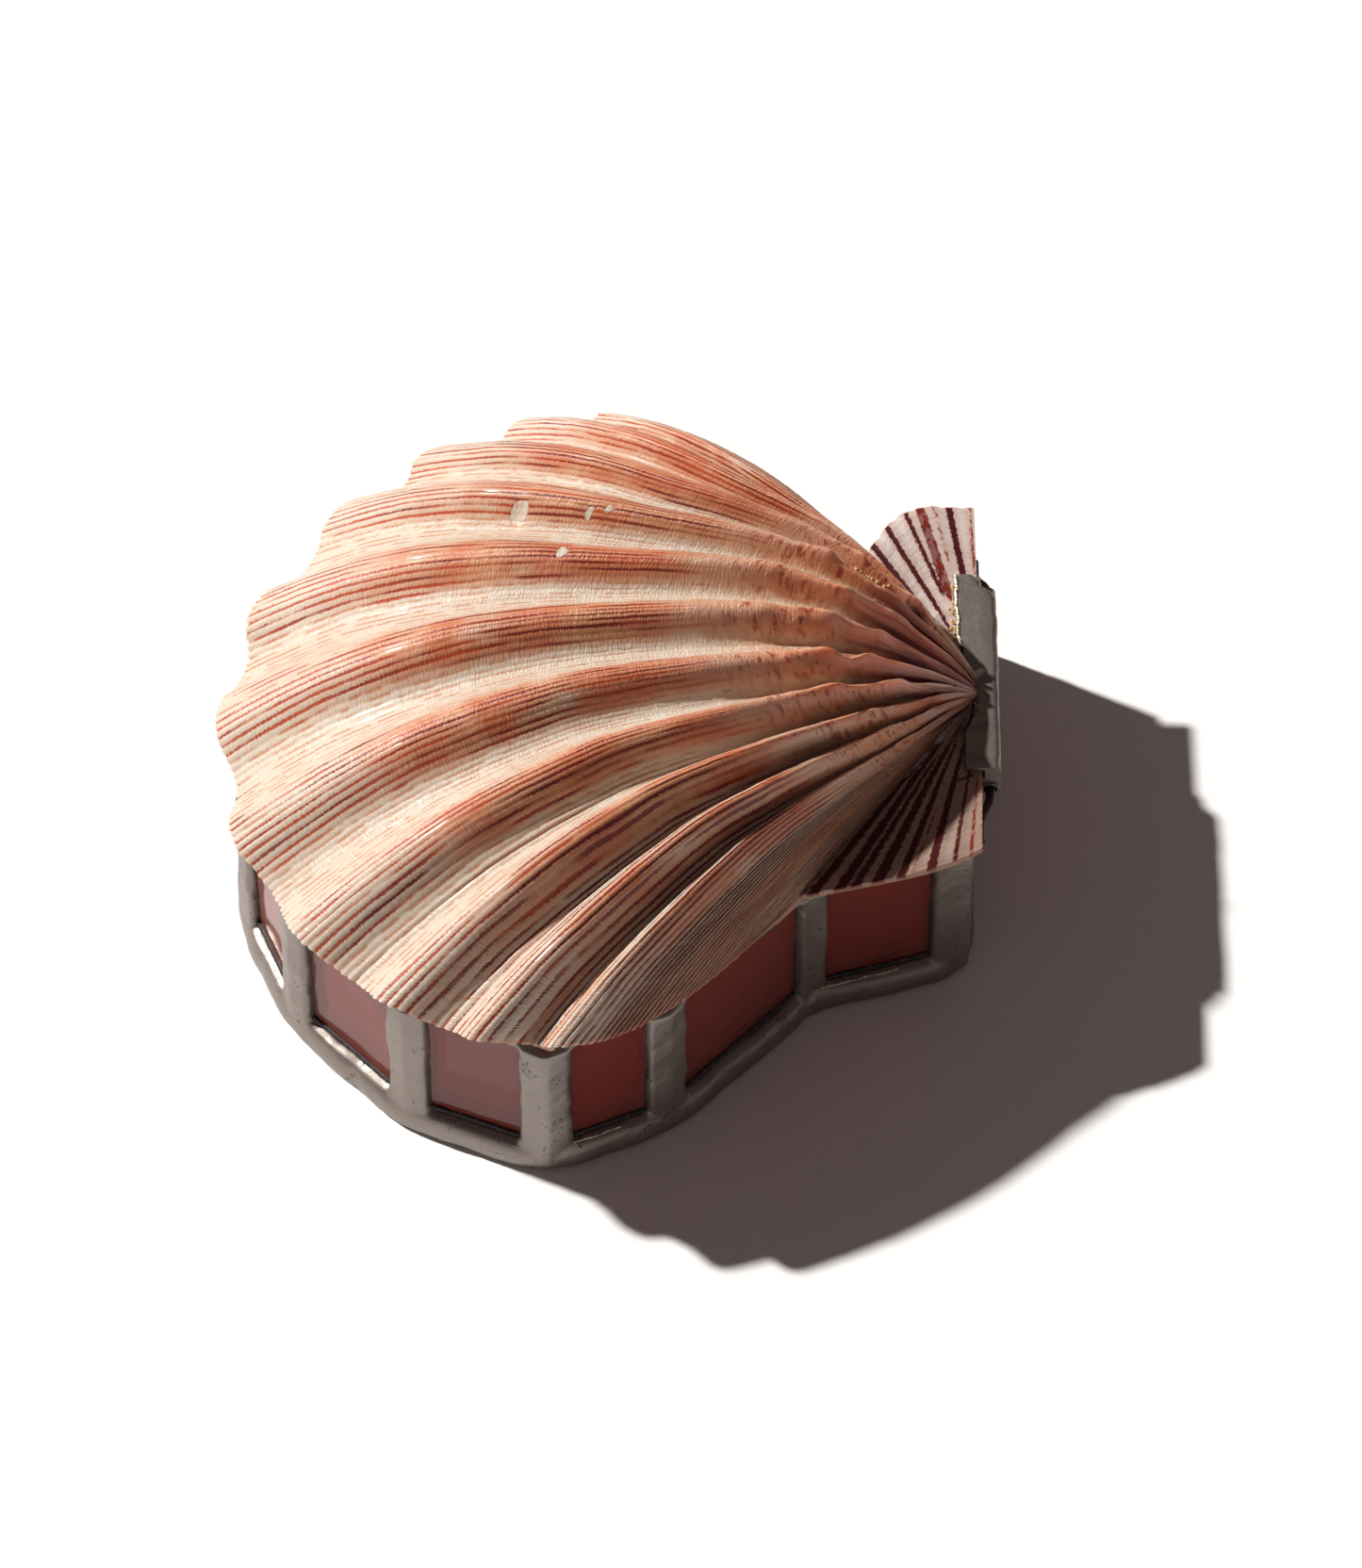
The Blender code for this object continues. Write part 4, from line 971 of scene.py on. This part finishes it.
# Dark seam: the black film and the foil's edge that show as a thin uneven line where each pane
# meets the solder, on the outside and on the inside.
SEAM_RADIUS = 0.22 * MM
seams = Recipe("seams", {"Radius": ('Float', SEAM_RADIUS), "Spacing": ('Float', 0.7 * MM),
                         "Unevenness": ('Float', 0.3 * MM)})
loops = seams.add('GeometryNodeMeshToCurve', {0: seams.given["Geometry"]}).outputs[0]
fine = seams.add('GeometryNodeResampleCurve', {"Curve": loops, "Length": seams.given["Spacing"]},
                 mode='LENGTH')
where = seams.add('GeometryNodeInputPosition').outputs[0]
shift = seams.add('ShaderNodeTexNoise', {"Vector": where, "Scale": 420.0, "Detail": 2.0}).outputs[1]
centred = seams.add('ShaderNodeVectorMath', {0: shift, 1: (0.5, 0.5, 0.5)}, operation='SUBTRACT').outputs[0]
centred = seams.scale_vector(centred, seams.given["Unevenness"])
shaken = seams.add('GeometryNodeSetPosition', {"Geometry": fine.outputs[0], "Offset": centred})
thick = seams.scaled(seams.noise(where, 900.0, 2.0), 1.4, 0.35)
sized = seams.add('GeometryNodeSetCurveRadius', {"Curve": shaken.outputs[0], "Radius": thick})
profile = seams.add('GeometryNodeCurvePrimitiveCircle', {"Resolution": 6, "Radius": seams.given["Radius"]})
swept = seams.add('GeometryNodeCurveToMesh', {"Curve": sized.outputs[0],
                                              "Profile Curve": profile.outputs[0],
                                              "Fill Caps": True})
seams.close(swept.outputs[0])

# Dark film for the seams; the same dark colour paints the shade on the ledge and in the gap at the beak
dark_film_and_shade = Finish("dark_seam", {"Roughness": 0.6})
dark_film_and_shade.set("Base Color", dark_film_and_shade.blend(dark_film_and_shade.rise(dark_film_and_shade.noise(dark_film_and_shade.place, 1500.0, 2.0), 0.45, 0.7), (22, 18, 18),
                                  (74, 62, 58)))
seam_points, seam_edges = [], []
for corner, following in bays:
    low = corner.beside(1, corner.glass_end + POST_COVER, 0.0)
    high = following.beside(-1, following.glass_end + POST_COVER, 0.0)
    for depth in (0.02 * MM, glass_back - 0.02 * MM):
        first = len(seam_points)
        out = corner.normal_ahead * depth
        loop = ((low, BASE_RIM_HEIGHT), (high, BASE_RIM_HEIGHT), (high, rim_low), (low, rim_low))
        seam_points += [(place.x + out.x, place.y + out.y, height) for place, height in loop]
        seam_edges += [(first + k, first + (k + 1) % 4) for k in range(4)]


def line_form(points, edges=None):
    """A bare mesh of points joined by edges, for a geometry tree to work on."""
    mesh = bpy.data.meshes.new("line")
    mesh.from_pydata(points, [(i, i + 1) for i in range(len(points) - 1)] if edges is None else edges, [])
    return put_in_scene("line", mesh)


seam = seams.bake(line_form(seam_points, seam_edges), "seams", Finish=dark_film_and_shade.material)
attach(seam, "box")

# Ledge and rim bead: a dark tube behind the base rim at the foot of each pane is painted shade on the rim's
# top and in the gap there, and a bright crinkled bead of solder on the rim here and there is partly a
# painted highlight along the rim's front edge.
SHADE_LEDGE_RADIUS = 0.55 * MM
RIM_BEAD_HIGHLIGHT_RADIUS = 0.2 * MM
shade_ledge_ends = []
for corner, following in bays:
    shade_ledge_ends += [corner.beside(1, corner.glass_end, 0.0),
                   following.beside(-1, following.glass_end, 0.0)]
shade_ledge_points = [(end.x, end.y, BASE_RIM_HEIGHT + 0.3 * MM) for end in shade_ledge_ends]
shade_ledge_edges = [(2 * i, 2 * i + 1) for i in range(len(bays))]
shade_ledge = seams.bake(line_form(shade_ledge_points, shade_ledge_edges), "shade_ledge", Finish=dark_film_and_shade.material,
                   Radius=SHADE_LEDGE_RADIUS)
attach(shade_ledge, "box")
# Bright tin for the beads: pale, with near white spots that are painted glints
painted_glint_tin = Finish("bright_tin", {"Metallic": 0.9, "Roughness": 0.38})
glints = painted_glint_tin.noise(painted_glint_tin.place, 1700.0, 3.0)
painted_glint_tin.set("Base Color", painted_glint_tin.blend(painted_glint_tin.rise(glints, 0.35, 0.65), (150, 140, 120), (238, 232, 210)))
painted_glint_tin.bump(glints, 0.0003, 1.0)
# the rim bead: solder in places, and a painted highlight along the rim's front edge
rim_highlight_points = [(*(place + out * 0.5 * BASE_RIM_BULGE), 5.5 * MM) for place, out in stations]
rim_highlight_edges = [(i, (i + 1) % len(stations)) for i in range(len(stations)) if wobble(i * 0.13, 37) > 0.1]
rim_bead_and_highlight = seams.bake(line_form(rim_highlight_points, rim_highlight_edges), "rim_bead_and_highlight", Finish=painted_glint_tin.material,
                      Radius=RIM_BEAD_HIGHLIGHT_RADIUS, Unevenness=0.5 * MM, Spacing=0.5 * MM)
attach(rim_bead_and_highlight, "box")

# Hinge: tinned sheet folded round the shell's back edge and run down with solder on to the tube
# under it, so the two read as one band. The sizes of the tube and of the rod in it are here too.
SLEEVE_LENGTH = 37.1 * MM
SLEEVE_MIDDLE = BEAK_X - 3.4 * MM
SLEEVE_SHEET = 0.7 * MM
SLEEVE_FRONT = 3.1 * MM
PIECE_GAP = 0.3 * MM
WALL_BACK_Y = 53.996 * MM
HINGE_Y = 58.296 * MM
HINGE_Z = 31.41 * MM
TUBE_RADIUS = 1.6 * MM
TUBE_BORE = 1.1 * MM
TUBE_OVERHANG = 0.3 * MM
ROD_RADIUS = 0.8 * MM
NEAR_ROD_OVERHANG = 1.6 * MM
FAR_ROD_OVERHANG = 0.9 * MM
NEAR_ROD_BEND_RUN = 5.5 * MM
FAR_ROD_BEND_RUN = 2.4 * MM
ROD_END_RUN = 3.0 * MM
SLEEVE_STEPS = 120
FOLD_RADIUS = 0.9 * MM
TUBE_SIDES = 40
ROD_SIDES = 20
# The sheet's edges as it was cut: distance along it from its far end, and the edge's Y, in mm
FRONT_CUT = ((0, 53.7), (12.0, 54.0), (15.8, 54.4), (18.4, 55.3), (21.6, 56.0), (25.6, 55.8), (28.3, 55.3),
             (29.8, 54.3), (37.1, 54.2))
BACK_CUT = ((0, 56.3), (1.2, 57.5), (1.8, 57.4), (3.2, 59.2), (4.2, 59.8), (37.1, 59.8))
# Where the back edge lies past this Y, the sheet runs down on to the tube
RUN_DOWN_Y = 58.4 * MM

sleeve_back = BEAK_Y + PIECE_GAP
sleeve_front = BEAK_Y - SLEEVE_FRONT
slot_low = EAR_BOTTOM - PIECE_GAP
slot_high = LID_LEVEL + PIECE_GAP
sheet_high = slot_high + SLEEVE_SHEET
sheet_low = slot_low - SLEEVE_SHEET
tube_wall = (TUBE_RADIUS + TUBE_BORE) / 2


def cut_edge(cut, along):
    """The Y of a cut edge of the sheet, so far along it."""
    return float(np.interp(along / MM, *zip(*cut))) * MM


bm = bmesh.new()
rings = []
for k in range(SLEEVE_STEPS + 1):
    along = SLEEVE_LENGTH * k / SLEEVE_STEPS
    dent = wobble(k * 0.07, 51) * 0.05 * MM
    ragged = wobble(k * 0.45, 52) * 0.12 * MM
    front = cut_edge(FRONT_CUT, along) + ragged
    back = cut_edge(BACK_CUT, along) + wobble(k * 0.3, 53) * 0.1 * MM
    run_down = float(ease((back - RUN_DOWN_Y) / (1.2 * MM)))
    high = sheet_high + dent
    foot = sheet_low + (HINGE_Z - sheet_low) * run_down
    ring = [(front, slot_high), (front - 0.1 * MM, slot_high + 0.45 * SLEEVE_SHEET),
            (front + 0.2 * MM, high), ((front + back) / 2, high + 0.5 * dent)]
    for turn in range(7):
        angle = math.pi / 2 * (1 - turn / 6)
        ring.append((back - FOLD_RADIUS * (1 - math.cos(angle)),
                     high - FOLD_RADIUS * (1 - math.sin(angle))))
    ring += [(back + 0.6 * ragged, (high + foot) / 2), (back, foot)]
    for angle in map(math.radians, (0, 30, 60, 90, 120)):
        lap = HINGE_Y + tube_wall * math.cos(angle)
        lapped = min(HINGE_Z + tube_wall * math.sin(angle), sheet_low) if run_down > 0 else sheet_low
        ring.append((min(lap, back - 0.3 * MM), lapped))
    ring += [(HINGE_Y - 1.6 * MM, sheet_low), (sleeve_front, sheet_low), (sleeve_front, slot_low),
             (sleeve_back, slot_low), (sleeve_back, slot_high)]
    x = SLEEVE_MIDDLE - SLEEVE_LENGTH / 2 + along
    rings.append([bm.verts.new((x, y, z)) for y, z in ring])
skin(bm, rings)
bm.faces.new(rings[0][::-1])
bm.faces.new(rings[-1])
# the ends are hollow in outline, so they are split only once they face outwards
bmesh.ops.recalc_face_normals(bm, faces=bm.faces)
split_long_faces(bm)
sleeve = put_in_scene("sleeve", finished_mesh(bm, bpy.data.meshes.new("sleeve")))
sleeve.data.set_sharp_from_angle(angle=math.radians(50))
# Dull tinned sheet, with faint smudges across the band and a fine mottle
sheet = Finish("tinned_sheet", {"Metallic": 1.0, "Roughness": 0.5})
smudged = sheet.add('ShaderNodeMapping', {"Vector": sheet.place, "Scale": (420, 110, 200)}).outputs[0]
smudges = sheet.noise(smudged, 1.0, 3.0, 0.55)
mottle = sheet.noise(sheet.place, 1100.0, 3.0, 0.5)
sheet_tin = sheet.blend(sheet.rise(smudges, 0.3, 0.7), (160, 149, 140), (138, 128, 120))
sheet_tin = sheet.blend(sheet.times(sheet.rise(mottle, 0.56, 0.7), 0.35), sheet_tin, (112, 102, 95))
sheet.set("Base Color", sheet_tin)
sheet.set("Roughness", sheet.scaled(smudges, 0.25, 0.42))
sheet.bump(mottle, 0.00006, 0.6)
sleeve.data.materials.append(sheet.material)
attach(sleeve, "lid")
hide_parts("hinge_sleeve")

# Front edge of the sleeve: a bright lumpy bead of solder holds it to the far ear, its pale spots painted
# glints, and at the beak a dark tube in the gap between the sheet and the shell is painted shade.
front_line = [(SLEEVE_MIDDLE - SLEEVE_LENGTH / 2 + along * MM, cut_edge(FRONT_CUT, along * MM))
              for along in np.linspace(0.2, SLEEVE_LENGTH / MM - 0.2, 60)]
beak_shade_line = [(x, y - 0.1 * MM, slot_high + 0.9 * SLEEVE_SHEET)
             for x, y in front_line if -15.2 * MM < x < 2.1 * MM]
beak_gap_shade = seams.bake(line_form(beak_shade_line), "beak_gap_shade", Finish=dark_film_and_shade.material, Radius=0.2 * MM)
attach(beak_gap_shade, "lid")
bead_line = [(x, y - 0.15 * MM, slot_high + 0.5 * SLEEVE_SHEET) for x, y in front_line if x < -14.2 * MM]
edge_bead = seams.bake(line_form(bead_line), "edge_bead", Finish=painted_glint_tin.material, Radius=0.46 * MM,
                       Unevenness=0.7 * MM, Spacing=0.4 * MM)
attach(edge_bead, "lid")

# Glue: set drops of amber resin on the far ear, squeezed out beside the solder bead, and smaller
# ones in a row on the shell above it.
GLUE_SEED = 5
drops = Recipe("glue_dots", {"Size": ('Float', 0.3 * MM), "Seed": ('Int', GLUE_SEED)})
drop = drops.add('GeometryNodeMeshIcoSphere', {"Radius": drops.given["Size"], "Subdivisions": 3})
spread = drops.add('FunctionNodeRandomValue', {"Seed": drops.given["Seed"]}, data_type='FLOAT')
for label, value in (("Min", 0.45), ("Max", 1.25)):
    drops.feed([s for s in spread.inputs if s.name == label and s.enabled][0], value)
swell = [s for s in spread.outputs if s.enabled][0]
dots = drops.add('GeometryNodeInstanceOnPoints', {"Points": drops.given["Geometry"],
                                                  "Instance": drop.outputs[0],
                                                  "Scale": swell})
drops.close(dots.outputs[0])
dice = np.random.default_rng(GLUE_SEED)
amber = [(x * MM, 53.55 * MM - abs(dice.normal(0, 0.45)) * MM, LID_LEVEL + 0.05 * MM)
         for x in dice.uniform(-26.7, -16.7, 46)]
bead_row = np.linspace(0, 1, 16)
bead_rib = -2.62 - 0.1 * bead_row + dice.normal(0, 0.03, 16)
bead_growth = 0.25 - 0.055 * bead_row + dice.normal(0, 0.003, 16)
clear = disc_points(bead_rib, bead_growth).tolist()
resin = Finish("glue", {"Roughness": 0.12, "Specular IOR Level": 0.7, "Coat Weight": 0.6, "Alpha": 0.9})
resin.set("Base Color", resin.blend(resin.noise(resin.place, 500.0), (236, 196, 132), (176, 112, 56)))
glue = drops.bake(line_form(amber + clear, []), "glue", Finish=resin.material)
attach(glue, "lid")

# Hinge tube: a straight tinned tube soldered under the sleeve and a little longer than it. It turns
# on the rod with the lid.


def swept_tube(name, route, radii, sides, finish):
    """A round wire along a route of points, or a tube where the inner radius is given too."""
    bm = bmesh.new()
    walls = []
    for radius in radii:
        rings = []
        for k, place in enumerate(route):
            ahead = (route[min(k + 1, len(route) - 1)] - route[max(k - 1, 0)]).normalized()
            side = ahead.cross(Vector((0, 0, 1))).normalized()
            up = side.cross(ahead)
            turns = [2 * math.pi * j / sides for j in range(sides)]
            rings.append([bm.verts.new(place + (side * math.cos(t) + up * math.sin(t)) * radius)
                          for t in turns])
        skin(bm, rings)
        walls.append(rings)
    for end in (0, -1):
        if len(radii) == 1:
            bm.faces.new(walls[0][end])
        else:
            skin(bm, [wall[end] for wall in walls])
    mesh = finished_mesh(bm, bpy.data.meshes.new(name))
    mesh.set_sharp_from_angle(angle=math.radians(50))
    mesh.materials.append(finish)
    return put_in_scene(name, mesh)


tube_half = SLEEVE_LENGTH / 2 + TUBE_OVERHANG
tube_route = [Vector((SLEEVE_MIDDLE + tube_half * (k / 20 - 1), HINGE_Y, HINGE_Z)) for k in range(41)]
tube = swept_tube("tube", tube_route, (TUBE_RADIUS, TUBE_BORE), TUBE_SIDES, tinned.material)
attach(tube, "lid")
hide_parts("hinge_tube")

# Hinge rod: one stiff wire with a dark patina, pushed through the tube. Its ends bend in and are
# soldered to the back rim.
wire = Finish("hinge_wire", {"Metallic": 0.9, "Roughness": 0.5})
patina = wire.noise(wire.place, 700.0, 3.0, 0.6)
wire.set("Base Color", wire.blend(patina, (36, 32, 32), (104, 92, 84)))
wire.set("Roughness", wire.scaled(patina, 0.3, 0.35))
wire.bump(patina, 0.00008, 0.6)
end_y = WALL_BACK_Y + SOLDER_BULGE + PIECE_GAP + ROD_RADIUS
far_bend = -SLEEVE_LENGTH / 2 - FAR_ROD_OVERHANG
near_bend = SLEEVE_LENGTH / 2 + NEAR_ROD_OVERHANG
far_stop = far_bend - FAR_ROD_BEND_RUN
near_stop = near_bend + NEAR_ROD_BEND_RUN
keys = [(far_stop - ROD_END_RUN, end_y), (far_stop, end_y), (far_bend, HINGE_Y), (near_bend, HINGE_Y),
        (near_stop, end_y), (near_stop + ROD_END_RUN, end_y)]
rod_route = []
for (x0, y0), (x1, y1) in zip(keys, keys[1:]):
    for k in range(12):
        share = k / 12
        y = y0 + (y1 - y0) * float(ease(share))
        rod_route.append(Vector((SLEEVE_MIDDLE + x0 + (x1 - x0) * share, y, HINGE_Z)))
rod_route.append(Vector((SLEEVE_MIDDLE + keys[-1][0], keys[-1][1], HINGE_Z)))
rod = swept_tube("rod", rod_route, (ROD_RADIUS,), ROD_SIDES, wire.material)
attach(rod, "box")
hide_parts("hinge_rod")

# Floor and light: a pale matt ground, and a low sun from the far left that throws the shadow
# towards the hinge side, with a faint warm sky to fill it.
FLOOR_REACH = 3
TOWARDS_SUN = (-0.47, -1.0, 1.0)
SUN_STRENGTH = 4.7
SKY_STRENGTH = 0.092
floor_mesh = bpy.data.meshes.new("floor")
floor_corners = [(x * FLOOR_REACH, y * FLOOR_REACH, 0) for x, y in ((-1, -1), (1, -1), (1, 1), (-1, 1))]
floor_mesh.from_pydata(floor_corners, [], [(0, 1, 2, 3)])
floor = put_in_scene("floor", floor_mesh)
painted = Finish("pale_floor", {"Base Color": (0.97, 0.965, 0.965, 1.0), "Roughness": 0.7})
floor_mesh.materials.append(painted.material)

sun_data = bpy.data.lights.new("key", 'SUN')
sun_data.energy = SUN_STRENGTH
sun_data.angle = math.radians(2.0)
sun_data.color = (1.0, 0.98, 0.955)
sun = put_in_scene("key", sun_data)
sun.rotation_euler = Vector(TOWARDS_SUN).to_track_quat('Z', 'Y').to_euler()
world = bpy.data.worlds.new("studio")
bpy.context.scene.world = world
world.use_nodes = True
sky = world.node_tree.nodes["Background"].inputs
sky["Color"].default_value = (1.0, 0.79, 0.78, 1.0)
sky["Strength"].default_value = SKY_STRENGTH
